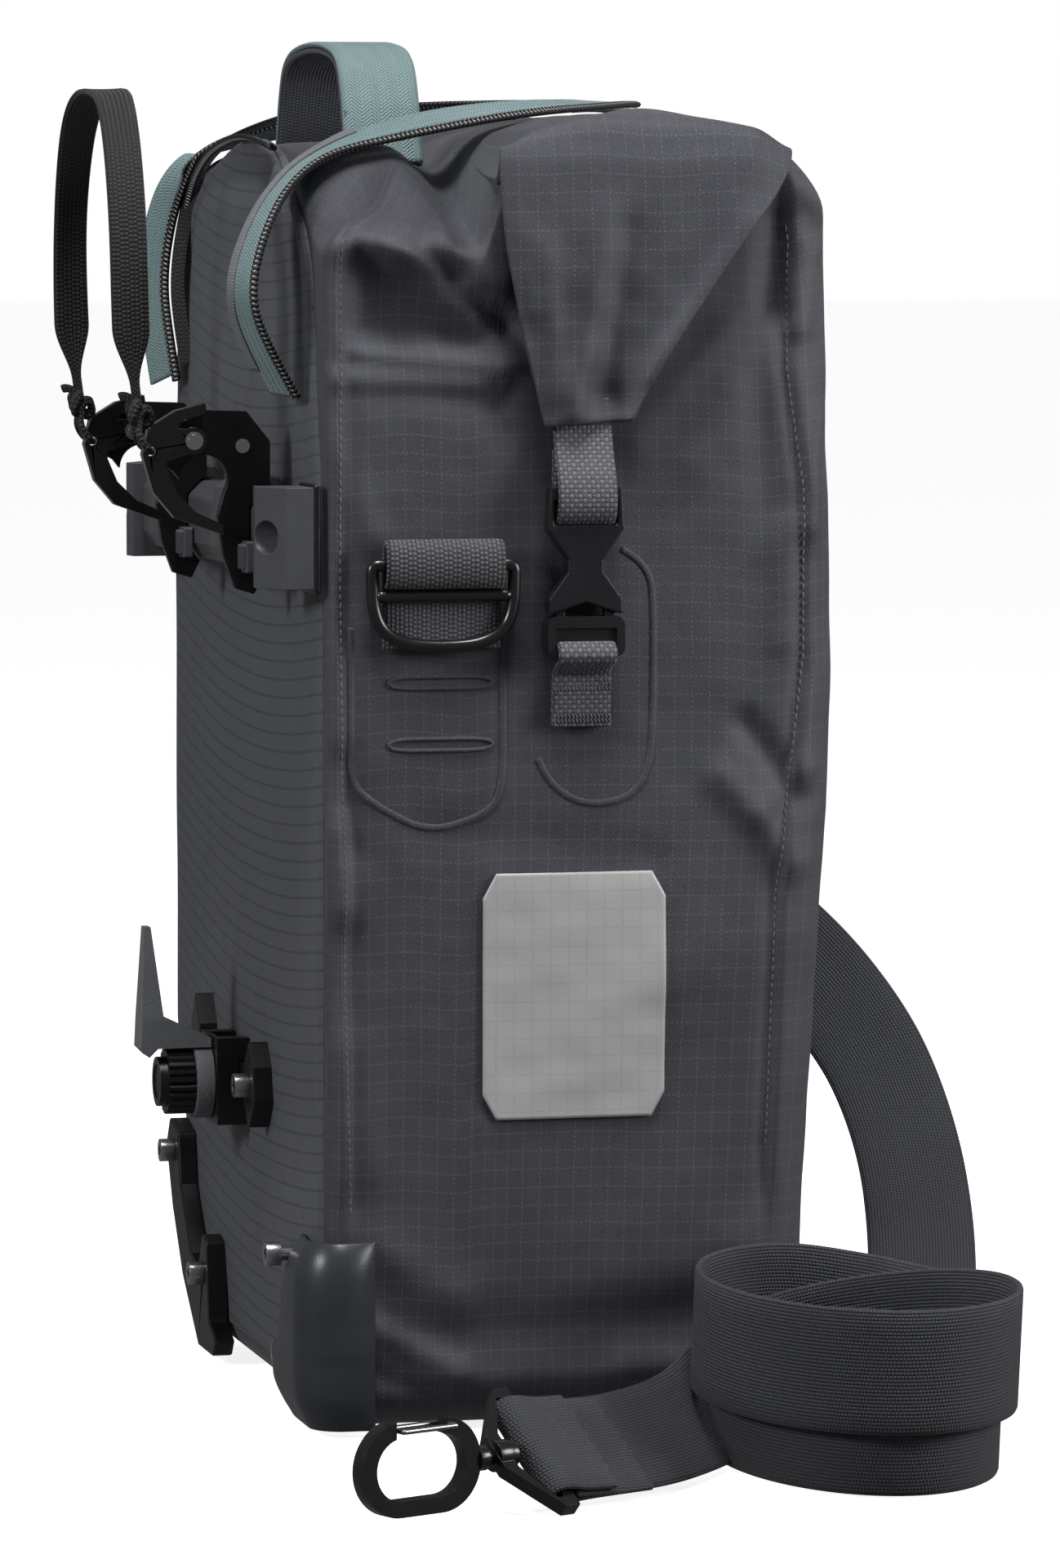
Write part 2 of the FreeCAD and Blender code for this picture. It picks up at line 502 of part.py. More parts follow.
def buckle_female():
    y = BUCKLE_Y
    body = block(-BUCKLE_X - 4.6, -BUCKLE_X + 4.2, y - 13, y + 13, 258, 271.4)
    body = rounded(body, X_AXIS, 3)
    body = body.cut(block(-BUCKLE_X - 2.4, -BUCKLE_X + 2.4, y - 10.6, y + 10.6, 262.2, 280))
    return body.cut(block(-155, -BUCKLE_X - 3.2, y - 10.3, y + 10.3, 260.6, 267.6))


def side_fittings():
    y0, y1 = BUCKLE_Y - WEB_WIDTH / 2, BUCKLE_Y + WEB_WIDTH / 2
    upper = joined(block(-141.4, -138.6, y0, y1, 314.4, 352), block(-139.9, -138.6, y0, y1, 302.2, 314.5),
                   block(-146.0, -138.6, y0, y1, 302.2, 303.8), block(-150.2, -148.6, y0, y1, 302.2, 316.6),
                   block(-148.7, -145.9, y0, y1, 302.2, 303.8), block(-148.7, -141.3, y0, y1, 315.0, 316.6))
    lower = joined(block(-139.2, -SIDE_FACE, y0, y1, 236, 262), block(-150.2, -148.6, y0, y1, 255, 259.5),
                   block(-148.7, -139.1, y0, y1, 255.0, 256.6))
    tab_y0, tab_y1 = RING_Y - 20.3, RING_Y + 20.3
    ring_x, ring_z = -RING_PIN_X, RING_PIN_Z
    outer = rod((ring_x, RING_Y, ring_z), Y_AXIS, 4.3, 40.6)
    tab = joined(outer, block(ring_x, -SIDE_FACE, tab_y0, tab_y1, ring_z, ring_z + 4.3),
                 block(-138.9, -SIDE_FACE, tab_y0, tab_y1, 262, ring_z + 4.3))
    tab = tab.cut(rod((ring_x, RING_Y, ring_z), Y_AXIS, RING_WIRE / 2 + 0.1, 60))
    reflector = [(-30, 112), (-26, 104), (28, 104), (32, 112), (32, 178), (28, 186), (-26, 186), (-30, 178)]
    patch = slab_x(reflector, -SIDE_FACE - 0.7, -SIDE_FACE)
    save("lower_webbing", lower, to_far_side(lower))
    save("dring_tabs", tab, to_far_side(tab))
    save("reflectors", patch, to_far_side(patch))
    for name, shape in (("upper_webbing", upper), ("buckle_male", buckle_male()), ("buckle_female", buckle_female())):
        save(name + "_near", shape)
        save(name + "_far", to_far_side(shape))
    ring = d_ring()
    save("d_ring_near", ring)
    far = to_far_side(ring)
    far.rotate(V(RING_PIN_X, 0, RING_PIN_Z), Y_AXIS, -FAR_RING_TILT)
    save("d_ring_far", far)


def d_ring():
    """A cast ring with a hinge bar inside the webbing and a second bar just below it."""
    y, z, w = RING_Y, RING_PIN_Z, RING_WIRE
    half = 26.0
    outer = [(y - half, z + 0.6), (y - half + 2, z + w / 2), (y + half - 2, z + w / 2), (y + half, z + 0.6), (y + half, 274),
             (y + half - 4, 266.5), (y + half - 11, 261.5), (y + 8, 259.5), (y - 8, 259.5), (y - half + 11, 261.5),
             (y - half + 4, 266.5), (y - half, 274)]
    shape = slab_x(outer, -RING_PIN_X - w / 2, -RING_PIN_X + w / 2)
    low = [(y - 21.4, 276.4), (y + 21.4, 276.4), (y + 21.4, 273), (y + 18, 268.4), (y + 13, 265.6), (y + 7, 264),
           (y - 7, 264), (y - 13, 265.6), (y - 18, 268.4), (y - 21.4, 273)]
    shape = shape.cut(slab_x(low, -150, -130))
    shape = shape.cut(block(-150, -130, y - 21.4, y + 21.4, 280.4, z + w))
    return joined(shape, rod((-RING_PIN_X, y, z), Y_AXIS, w / 2 - 0.02, 2 * 21.6))


# ---- shoulder strap ----------------------------------------------------------------

def snap_hook(name, u, v, ring_centre, bar):
    """A swivel snap hook: ring with a mouth, wire gate, swivel post and webbing bow. Returns the webbing loop."""
    def in_ring(shape):
        return placed(shape, u, v, ring_centre)

    def oval_plate(half_long, half_tall, thick):
        a, b = half_long - half_tall, half_tall
        flat = Part.makeBox(2 * a, 2 * b, thick, V(-a, -b, -thick / 2))
        ends = [Part.makeCylinder(b, thick, V(s * a, 0, -thick / 2)) for s in (-1, 1)]
        return flat.multiFuse(ends)

    ring = oval_plate(23.0, 15.0, 5.4).cut(oval_plate(17.4, 9.8, 8))
    ring = ring.cut(Part.makeBox(19.6, 8.0, 8.0, V(-9.8, 8.0, -4)))
    ring = ring.cut(Part.makeCylinder(GATE_WIRE + 0.05, 12, V(-12.0, 12.0, -6), Z_AXIS))
    neck = Part.makeCylinder(4.0, 3.5, V(-26.0, 0, 0), X_AXIS)
    post = Part.makeCylinder(2.4, 9.4, V(-35.2, 0, 0), X_AXIS)
    cap = Part.makeCylinder(4.4, 2.2, V(-37.0, 0, 0), X_AXIS)
    save("snap_ring_" + name, in_ring(joined(ring, neck, post, cap)))
    wires = [Part.makeCylinder(GATE_WIRE, 20.0, V(-12.0, 12.0, z), X_AXIS) for z in (4.0, -4.0)]
    ends = [Part.makeCylinder(GATE_WIRE, 8.0, V(x, 12.0, -4.0), Z_AXIS) for x in (-12.0, 8.0)]
    knuckles = [Part.makeSphere(GATE_WIRE, V(x, 12.0, z)) for x in (-12.0, 8.0) for z in (4.0, -4.0)]
    gate = joined(*ends, *wires, *knuckles)
    save("snap_gate_" + name, in_ring(gate))
    start = V(*ring_centre) - V(*u).normalize() * 33.0

    def in_bow(shape):
        return placed(shape, u, bar, (start.x, start.y, start.z))

    outline = [(3.6, -6.5), (3.6, 6.5), (-10, 24.6), (-15.5, 24.6), (-15.5, -24.6), (-10, -24.6)]
    slot = [(-1.6, -6.9), (-1.6, 6.9), (-9.0, 20.8), (-11.2, 20.8), (-11.2, -20.8), (-9.0, -20.8)]
    plate = Part.Face(Part.makePolygon([V(a, b, -2.4) for a, b in outline + outline[:1]])).extrude(V(0, 0, 4.8))
    hole = Part.Face(Part.makePolygon([V(a, b, -5) for a, b in slot + slot[:1]])).extrude(V(0, 0, 10))
    bow = plate.multiFuse([Part.makeCylinder(5.0, 5.0, V(-1.5, 0, 0), X_AXIS)]).cut(hole)
    bow = bow.cut(Part.makeCylinder(2.46, 12, V(-4, 0, 0), X_AXIS))
    save("snap_bow_" + name, in_bow(bow))
    loop = Part.makeBox(7.2, 40.0, 8.6, V(-17.5, -20.0, -4.3)).cut(Part.makeBox(4.9, 41.0, 5.4, V(-15.9, -20.5, -2.7)))
    return in_bow(loop)


def shoulder_strap():
    save("strap_rise", ribbon(STRAP_RISE, RISE_EDGE, STRAP_WIDTH, STRAP_THICK))
    save("strap_tail", ribbon(STRAP_TAIL, TAIL_EDGE, STRAP_WIDTH, STRAP_THICK))
    outer = Part.Face(Part.Wire(Part.Ellipse(V(COIL_X, COIL_Y, 0), COIL_A, COIL_B).toShape()))
    inner = Part.Face(Part.Wire(Part.Ellipse(V(COIL_X, COIL_Y, 0), COIL_A - COIL_WALL, COIL_B - COIL_WALL).toShape()))
    save("strap_coil", outer.cut(inner).extrude(V(0, 0, COIL_HEIGHT)))
    near_loop = snap_hook("near", (-0.42, 0.907, 0.0), (0, 0, 1), (-299.0, 90.0, 17.6), (-0.69, -0.32, -0.65))
    wire_x = RING_PIN_X + 27.0 * math.sin(math.radians(FAR_RING_TILT))
    wire_z = RING_PIN_Z - 27.0 * math.cos(math.radians(FAR_RING_TILT))
    far_loop = snap_hook("far", (0, 0.8, 0.6), (1, 0, 0), (wire_x + 1.6, RING_Y - 3.4, wire_z - 2.0), (0, 0.6, -0.8))
    save("strap_loops", near_loop, far_loop)


main_shell()
inner_parts()
back_skin()
rear_lid()
roll_closure()
zip_parts()
carry_handle()
rail_parts()
hooks_and_levers()
lower_hook()
guards()
side_fittings()
shoulder_strap()
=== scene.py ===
import logging
import math
from dataclasses import dataclass
from enum import Enum
from typing import Callable, Sequence

import bmesh
import bpy
import numpy as np
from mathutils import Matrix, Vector


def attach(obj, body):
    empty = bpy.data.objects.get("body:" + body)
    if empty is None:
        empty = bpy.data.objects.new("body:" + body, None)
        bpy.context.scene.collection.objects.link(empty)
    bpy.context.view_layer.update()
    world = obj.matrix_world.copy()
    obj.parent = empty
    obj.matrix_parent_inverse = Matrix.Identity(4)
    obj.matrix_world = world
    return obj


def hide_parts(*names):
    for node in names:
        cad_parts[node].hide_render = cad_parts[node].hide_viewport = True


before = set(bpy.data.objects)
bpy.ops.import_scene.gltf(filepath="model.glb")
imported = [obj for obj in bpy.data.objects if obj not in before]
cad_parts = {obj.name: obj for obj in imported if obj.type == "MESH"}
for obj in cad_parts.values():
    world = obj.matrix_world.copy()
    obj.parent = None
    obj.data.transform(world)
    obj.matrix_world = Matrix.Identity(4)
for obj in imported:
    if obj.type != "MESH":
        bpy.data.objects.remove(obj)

# A roll-top bicycle pannier. Metres. X runs across the bag, Y from the front towards
# the rack side, Z up. The near side faces -X and the far side +X.

LOG = logging.getLogger("pannier")
Array = np.ndarray
MM = 0.001
TAU = 2 * math.pi
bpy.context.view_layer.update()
FLOOR_HALF, FLOOR_Z = 30.0, -0.0004
LAMP_AIM = (0, 0, 0.2)


# ---- shader maths ---------------------------------------------------------------

def _operator(operation: str, swapped: bool = False) -> Callable:
    """A method that adds one Math node.

    Args:
        operation: The node's operation.
        swapped: Whether the other number comes first.

    Returns:
        The method.
    """
    def act(number: "Num", *others: object) -> "Num":
        """Applies the operation to the number and the others."""
        values = (*others, number) if swapped else (number, *others)
        return number._maths(operation, *values)
    return act


class Num:
    """A socket that carries a number, with the operators that the finishes use."""

    def __init__(self, shader: "Shader", socket: bpy.types.NodeSocket) -> None:
        """Keeps the shader that the socket belongs to."""
        self.shader = shader
        self.socket = socket

    def _maths(self, operation: str, *values: object) -> "Num":
        """Adds one Math node.

        Args:
            operation: The node's operation.
            values: Its inputs, numbers or Num.

        Returns:
            The node's result.
        """
        node = self.shader.node("ShaderNodeMath", {"operation": operation}, dict(enumerate(values)))
        return Num(self.shader, node.outputs[0])

    __add__ = _operator("ADD")
    __radd__ = _operator("ADD", swapped=True)
    __sub__ = _operator("SUBTRACT")
    __rsub__ = _operator("SUBTRACT", swapped=True)
    __mul__ = _operator("MULTIPLY")
    __rmul__ = _operator("MULTIPLY", swapped=True)
    __truediv__ = _operator("DIVIDE")
    __gt__ = _operator("GREATER_THAN")
    __lt__ = _operator("LESS_THAN")
    larger = _operator("MAXIMUM")
    fract = _operator("FRACT")
    floor = _operator("FLOOR")
    sin = _operator("SINE")
    size = _operator("ABSOLUTE")

    def band(self, centre: object, half: object) -> "Num":
        """One within half of a centre, else nothing."""
        return (self - centre).size() < half

    def eased(self, low: float, high: float) -> "Num":
        """Runs smoothly from nothing at low to one at high."""
        node = self.shader.node("ShaderNodeMapRange", {"interpolation_type": "SMOOTHSTEP"},
                                {"Value": self, "From Min": low, "From Max": high})
        return Num(self.shader, node.outputs[0])


class Shader:
    """A material under construction."""

    def __init__(self, name: str) -> None:
        """Starts an empty material."""
        self.material = bpy.data.materials.new(name)
        self.material.use_nodes = True
        self.tree = self.material.node_tree
        self.tree.nodes.clear()

    def node(self, kind: str, settings: dict | None = None, inputs: dict | None = None) -> bpy.types.Node:
        """Adds a node.

        Args:
            kind: The node's type.
            settings: Attributes that are set first.
            inputs: Values or links of its sockets, by name or number.

        Returns:
            The node.
        """
        made = self.tree.nodes.new(kind)
        for key, value in (settings or {}).items():
            setattr(made, key, value)
        for key, value in (inputs or {}).items():
            socket = made.inputs[key]
            if isinstance(value, Num):
                self.tree.links.new(value.socket, socket)
            elif isinstance(value, bpy.types.NodeSocket):
                self.tree.links.new(value, socket)
            else:
                socket.default_value = value
        return made

    def place(self) -> bpy.types.NodeSocket:
        """Object coordinates."""
        return self.node("ShaderNodeTexCoord").outputs["Object"]

    def axes(self, source: bpy.types.NodeSocket) -> tuple[Num, Num, Num]:
        """The three numbers of a vector."""
        split = self.node("ShaderNodeSeparateXYZ", None, {0: source})
        return tuple(Num(self, out) for out in split.outputs)

    def cloth(self) -> tuple[Num, Num]:
        """Metres across and along the cloth, from the piece's own UV map."""
        found = self.node("ShaderNodeUVMap", {"uv_map": "cloth"})
        across, along, _ = self.axes(found.outputs[0])
        return across, along

    def noise(self, scale: float, detail: float = 3.0, rough: float = 0.5) -> Num:
        """Noise in object space.

        Args:
            scale: Cells per metre.
            detail: Octaves.
            rough: Weight of the fine octaves.

        Returns:
            Noise around one half.
        """
        made = self.node("ShaderNodeTexNoise", None,
                         {"Vector": self.place(), "Scale": scale, "Detail": detail, "Roughness": rough})
        return Num(self, made.outputs[0])

    def blend(self, factor: object, first: object, second: object) -> bpy.types.NodeSocket:
        """Mixes two colours by a factor."""
        made = self.node("ShaderNodeMix", {"data_type": "RGBA"}, {0: factor, 6: first, 7: second})
        return made.outputs[2]

    def finish(self, colour: object, roughness: object, height: object = None, depth: float = 0.0002,
               **fixed: float) -> bpy.types.Material:
        """Joins everything to a Principled surface.

        Args:
            colour: Base colour, a value or a link.
            roughness: Roughness, a value or a link.
            height: Bump height from 0 to 1, or None.
            depth: Height of the bump in metres.
            fixed: Other Principled sockets, by name with _ for spaces.

        Returns:
            The material.
        """
        surface = self.node("ShaderNodeBsdfPrincipled", None, {"Base Color": colour, "Roughness": roughness})
        for key, value in fixed.items():
            surface.inputs[key.replace("_", " ")].default_value = value
        if height is not None:
            bump = self.node("ShaderNodeBump", None, {"Height": height, "Distance": depth, "Strength": 1.0})
            self.tree.links.new(bump.outputs[0], surface.inputs["Normal"])
        out = self.node("ShaderNodeOutputMaterial")
        self.tree.links.new(surface.outputs[0], out.inputs[0])
        return self.material


def shade(red: int, green: int, blue: int) -> tuple[float, float, float, float]:
    """Turns a display colour from 0 to 255 into a linear one."""
    linear = [((c / 255 + 0.055) / 1.055) ** 2.4 if c > 10 else c / 255 / 12.92 for c in (red, green, blue)]
    return (*linear, 1.0)


Colour = tuple[float, float, float, float]


@dataclass(frozen=True)
class Ripstop:
    """Coated nylon with a grid of thicker threads."""

    name: str
    ground: Colour
    thread: Colour
    cell: float = 6.1 * MM
    weave: float = 0.72 * MM
    rough: float = 0.52
    upright_threads: float = 1.0
    show: float = 0.24
    line: float = 0.04

    def make(self) -> bpy.types.Material:
        """Plain weave from two sines, raised threads where a cell repeats, and soft mottling."""
        s = Shader(self.name)
        u, v = s.cloth()
        tiny = (u * (TAU / self.weave)).sin() * (v * (TAU / self.weave)).sin()
        over_u = (u / self.cell).fract().band(0.5, self.line)
        over_v = (v / self.cell).fract().band(0.5, self.line)
        dots_u = (v * (TAU / (2.3 * self.weave))).sin() * 0.5 + 0.5
        dots_v = (u * (TAU / (2.3 * self.weave))).sin() * 0.5 + 0.5
        grid = (over_u * dots_u * self.upright_threads).larger(over_v * dots_v)
        cloud = s.noise(14.0, 4.0)
        fleck = s.noise(900.0, 2.0, 0.7)
        tone = cloud * 0.25 + fleck * 0.6 + tiny * 0.16 + 0.03
        low = tuple(c * 0.5 for c in self.ground[:3]) + (1.0,)
        high = tuple(min(1.0, c * 1.55) for c in self.ground[:3]) + (1.0,)
        base = s.blend(tone, low, high)
        colour = s.blend(grid * self.show, base, self.thread)
        height = tiny * 0.22 + grid * 0.42 + fleck * 0.2
        return s.finish(colour, cloud * 0.2 + (self.rough - 0.1), height, 0.0002,
                        Sheen_Weight=0.12, Sheen_Roughness=0.45, Specular_IOR_Level=0.42)


class Weave(Enum):
    """How a webbing's threads cross."""

    RIB = 1
    BASKET = 2
    TWILL = 3


@dataclass(frozen=True)
class Webbing:
    """Woven webbing, tape or braid."""

    name: str
    dark: Colour
    light: Colour
    width: float
    pitch: float = 1.3 * MM
    weave: Weave = Weave.RIB
    rough: float = 0.62
    depth: float = 0.00035

    def make(self) -> bpy.types.Material:
        """Threads across and along the band, with a denser edge on both sides."""
        s = Shader(self.name)
        u, v = s.cloth()
        across = u / self.pitch
        along = v / self.pitch
        if self.weave is Weave.RIB:
            shift = (across * 0.5).floor() * 0.5
            yarn = ((along + shift) * TAU).sin() * 0.5 + 0.5
            row = (across * (TAU * 0.5)).sin().size()
            raised = yarn * 0.75 * row + row * 0.25
        elif self.weave is Weave.BASKET:
            checker = ((across * (TAU * 0.5)).sin() * (along * (TAU * 0.5)).sin())
            raised = checker.size() * 0.6 + (checker > 0.0) * 0.4
        else:
            folded = ((u / (self.width * 0.25)).fract() - 0.5).size() * (self.width * 0.25 / self.pitch)
            yarn = ((along + folded * 0.9) * TAU).sin() * 0.5 + 0.5
            raised = yarn * 0.8 + (across * TAU).sin() * 0.1 + 0.1
        edge = (u / self.width - 0.5).size().eased(0.445, 0.475)
        fuzz = s.noise(700.0, 3.0, 0.7)
        cloud = s.noise(22.0, 3.0)
        tone = raised * 0.7 + fuzz * 0.3 + cloud * 0.3 - 0.16 - edge * 0.12
        colour = s.blend(tone, self.dark, self.light)
        return s.finish(colour, fuzz * 0.2 + (self.rough - 0.1), raised + fuzz * 0.3 - edge * 0.3, self.depth,
                        Sheen_Weight=0.15, Sheen_Roughness=0.4, Specular_IOR_Level=0.4)


@dataclass(frozen=True)
class Moulded:
    """Moulded or painted part with a fine grain."""

    name: str
    colour: Colour
    rough: float = 0.45
    grain: float = 0.00006
    grain_scale: float = 1400.0
    metal: float = 0.0
    coat: float = 0.0

    def make(self) -> bpy.types.Material:
        """Spark-eroded grain, handling marks in the gloss and a slight change of tone."""
        s = Shader(self.name)
        grain = s.noise(self.grain_scale, 2.0, 0.6)
        marks = s.noise(60.0, 5.0, 0.65)
        darker = tuple(c * 0.82 for c in self.colour[:3]) + (1.0,)
        lighter = tuple(min(1.0, c * 1.22) for c in self.colour[:3]) + (1.0,)
        tone = s.blend(marks * 0.7 + grain * 0.3, darker, lighter)
        return s.finish(tone, marks * 0.18 + grain * 0.06 + (self.rough - 0.12), grain, self.grain,
                        Metallic=self.metal, Coat_Weight=self.coat, Coat_Roughness=0.12)


@dataclass(frozen=True)
class Brushed:
    """Bare steel, turned or brushed along X."""

    name: str
    colour: Colour
    rough: float = 0.3

    def make(self) -> bpy.types.Material:
        """Fine scratches stretched along one axis."""
        s = Shader(self.name)
        turn = s.node("ShaderNodeMapping", None, {"Vector": s.place(), "Scale": (300.0, 4000.0, 4000.0)})
        lines = Num(s, s.node("ShaderNodeTexNoise", None,
                              {"Vector": turn.outputs[0], "Scale": 1.0, "Detail": 3.0}).outputs[0])
        darker = tuple(c * 0.7 for c in self.colour[:3]) + (1.0,)
        return s.finish(s.blend(lines, darker, self.colour), lines * 0.25 + (self.rough - 0.12), lines,
                        0.00002,
                        Metallic=1.0)


@dataclass(frozen=True)
class ZipCoil:
    """A nylon coil: dark loops with pale dots of painted highlight on them."""

    name: str
    dark: Colour
    pale: Colour
    pitch: float = 1.7 * MM

    def make(self) -> bpy.types.Material:
        """Pale dots of painted highlight in two rows, out of step with each other."""
        s = Shader(self.name)
        u, v = s.cloth()
        row = (u / 0.0021).floor()
        wave = ((v / self.pitch + row * 0.5) * TAU).sin()
        # dots are painted highlights on the crest of each loop
        dots = wave.eased(0.15, 0.75) * ((u / 0.0021).fract() - 0.5).size().eased(0.4, 0.2)
        fuzz = s.noise(900.0, 2.0)
        colour = s.blend(dots * (fuzz * 0.4 + 0.55), self.dark, self.pale)
        return s.finish(colour, 0.5, wave * 0.5 + dots * 0.5, 0.0004)


# ---- meshes ----------------------------------------------------------------------

def mesh_piece(name: str, points: Array, quads: Array, uv: Array,
               caps: Sequence[Array] = ()) -> bpy.types.Object:
    """Makes an object from arrays.

    Args:
        name: The piece's name.
        points: Vertices, one row each.
        quads: Four vertex numbers a face.
        uv: Cloth coordinates of every corner of every quad.
        caps: End faces, each an array of vertex numbers.

    Returns:
        The object.
    """
    mesh = bpy.data.meshes.new(name)
    corners = np.concatenate([quads.ravel(), *caps]) if len(caps) else quads.ravel()
    counts = np.concatenate([np.full(len(quads), 4), [len(cap) for cap in caps]]).astype(np.int32)
    starts = np.concatenate([[0], np.cumsum(counts)[:-1]]).astype(np.int32)
    mesh.vertices.add(len(points))
    mesh.vertices.foreach_set("co", points.astype(np.float32).ravel())
    mesh.loops.add(len(corners))
    mesh.loops.foreach_set("vertex_index", corners.astype(np.int32))
    mesh.polygons.add(len(counts))
    mesh.polygons.foreach_set("loop_start", starts)
    mesh.update(calc_edges=True)
    mesh.validate()
    layer = mesh.uv_layers.new(name="cloth")
    flat = np.zeros((len(mesh.loops), 2), np.float32)
    flat[:len(uv)] = uv
    layer.data.foreach_set("uv", flat.ravel())
    mesh.polygons.foreach_set("use_smooth", np.ones(len(mesh.polygons), bool))
    made = bpy.data.objects.new(name, mesh)
    bpy.context.scene.collection.objects.link(made)
    return made


def grid_piece(name: str, points: Array, uv: Array, around: bool = False,
               capped: bool = False) -> bpy.types.Object:
    """Makes a surface from a grid of points.

    Args:
        name: The piece's name.
        points: Shape (m, n, 3).
        uv: Shape (m, n, 2), or (m + 1, n, 2) where the first direction closes on itself.
        around: Whether the first direction closes.
        capped: Whether both ends of the second direction get a face.

    Returns:
        The object.
    """
    m, n = points.shape[:2]
    rows = np.arange(m if around else m - 1)[:, None]
    cols = np.arange(n - 1)[None, :]
    after = (rows + 1) % m
    quads = np.stack([rows * n + cols, after * n + cols, after * n + cols + 1, rows * n + cols + 1], -1)
    corners = np.stack([uv[rows, cols], uv[rows + 1, cols], uv[rows + 1, cols + 1], uv[rows, cols + 1]], 2)
    ends = [np.arange(m)[::-1] * n, np.arange(m) * n + n - 1] if capped else []
    return mesh_piece(name, points.reshape(-1, 3), quads.reshape(-1, 4), corners.reshape(-1, 2), ends)


def unit(vectors: Array) -> Array:
    """Vectors divided by their lengths."""
    return vectors / np.maximum(np.linalg.norm(vectors, axis=-1, keepdims=True), 1e-12)


def lengths(path: Array) -> Array:
    """Distance along a path at each of its points."""
    return np.concatenate([[0.0], np.cumsum(np.linalg.norm(np.diff(path, axis=0), axis=1))])


def smooth_line(controls: Array, count: int) -> Array:
    """Samples the clamped quadratic B-spline of some control points.

    Each span blends three neighbours by (1-t)^2, 2t(1-t) and t^2, between midpoints.

    Args:
        controls: Control points.
        count: How many samples.

    Returns:
        Samples, evenly spaced in the spline's parameter.
    """
    ctrl = np.asarray(controls, float)
    joints = np.concatenate([ctrl[:1], (ctrl[1:-2] + ctrl[2:-1]) / 2, ctrl[-1:]])
    at = np.linspace(0, len(joints) - 1, count)
    span = np.minimum(at.astype(int), len(joints) - 2)
    t = (at - span)[:, None]
    return joints[span] * (1 - t) ** 2 + ctrl[span + 1] * 2 * t * (1 - t) + joints[span + 1] * t ** 2


def even(path: Array, count: int, *others: Array) -> list[Array]:
    """Resamples a path, and arrays that go with it, at equal distances."""
    along = lengths(path)
    want = np.linspace(0, along[-1], count)
    return [np.stack([np.interp(want, along, a[:, k]) for k in range(a.shape[1])], 1) for a in (path,
            *others)]


def tangents(path: Array, closed: bool = False) -> Array:
    """Unit directions along a path."""
    if closed:
        return unit(np.roll(path, -1, 0) - np.roll(path, 1, 0))
    return unit(np.gradient(path, axis=0))


def flat_profile(width: float, thick: float, corner: float = 0.35) -> Array:
    """Outline of a band's section: a flat oval with softened edges, as (across, out) points."""
    half, rise = width / 2, thick / 2
    inner = half - thick * corner * 2
    across = np.concatenate([np.linspace(-inner, inner, 7), [half - thick * 0.2, half, half - thick * 0.2]])
    out = np.concatenate([np.full(7, rise), [rise * 0.7, 0.0, -rise * 0.7]])
    top = np.stack([across, out], 1)
    low = np.stack([np.linspace(inner, -inner, 7), np.full(7, -rise)], 1)
    left = np.array([[-half + thick * 0.2, -rise * 0.7], [-half, 0.0], [-half + thick * 0.2, rise * 0.7]])
    return np.concatenate([top, low, left])


def round_profile(radius: float, count: int = 14, squash: float = 1.0) -> Array:
    """Outline of a round or oval section."""
    turn = np.linspace(0, TAU, count, endpoint=False)
    return np.stack([np.cos(turn) * radius, np.sin(turn) * radius * squash], 1)


def sweep(name: str, path: Array, side: Array, profile: Array, closed: bool = False,
          scale: Array | None = None) -> bpy.types.Object:
    """Carries a profile along a path.

    A point of the section is path + side * across + (side x tangent) * out.

    Args:
        name: The piece's name.
        path: Points along the middle.
        side: The band's width direction at each point, or one direction for all.
        profile: Outline of (across, out) points.
        closed: Whether the path closes on itself.
        scale: Share of the profile's width at each point, or None for all of it.

    Returns:
        The object.
    """
    ahead = tangents(path, closed)
    side = np.broadcast_to(np.asarray(side, float), path.shape)
    side = unit(side - ahead * np.sum(side * ahead, 1, keepdims=True))
    out = np.cross(side, ahead)
    share = np.ones(len(path)) if scale is None else scale
    wide = side[None] * profile[:, 0, None, None] * share[None, :, None]
    ring = path[None] + wide + out[None] * profile[:, 1, None, None]
    if closed:
        ring = np.concatenate([ring, ring[:, :1]], 1)
        path = np.concatenate([path, path[:1]])
    along = lengths(path)
    across = np.concatenate([profile[:, 0], profile[:1, 0]]) - profile[:, 0].min()
    uv = np.stack(np.broadcast_arrays(across[:, None], along[None]), -1)
    made = grid_piece(name, ring, uv, around=True, capped=not closed)
    if closed:
        weld(made)
    turn_outwards(made)
    return made


def edit(piece: bpy.types.Object, change: Callable) -> None:
    """Opens a piece's mesh, changes it and writes it back."""
    work = bmesh.new()
    work.from_mesh(piece.data)
    change(work)
    work.to_mesh(piece.data)
    work.free()


def weld(piece: bpy.types.Object, gap: float = 1e-6) -> None:
    """Merges doubled vertices."""
    edit(piece, lambda work: bmesh.ops.remove_doubles(work, verts=work.verts, dist=gap))


def turn_outwards(piece: bpy.types.Object) -> None:
    """Points the faces of a closed piece outwards."""
    edit(piece, lambda work: bmesh.ops.recalc_face_normals(work, faces=work.faces))


def dress(piece: bpy.types.Object, finish: bpy.types.Material, body: str | None = None,
          *stands_for: str) -> bpy.types.Object:
    """Gives a new piece its material, body and the CAD nodes it stands for."""
    piece.data.materials.clear()
    piece.data.materials.append(finish)
    if body is not None:
        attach(piece, body)
    if stands_for:
        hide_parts(*stands_for)
    LOG.info("made %s: %d faces", piece.name, len(piece.data.polygons))
    return piece


def near_owns(side: int, node: str) -> tuple[str, ...]:
    """The node that the near side's piece stands for, and none on the far side."""
    return (node,) if side < 0 else ()


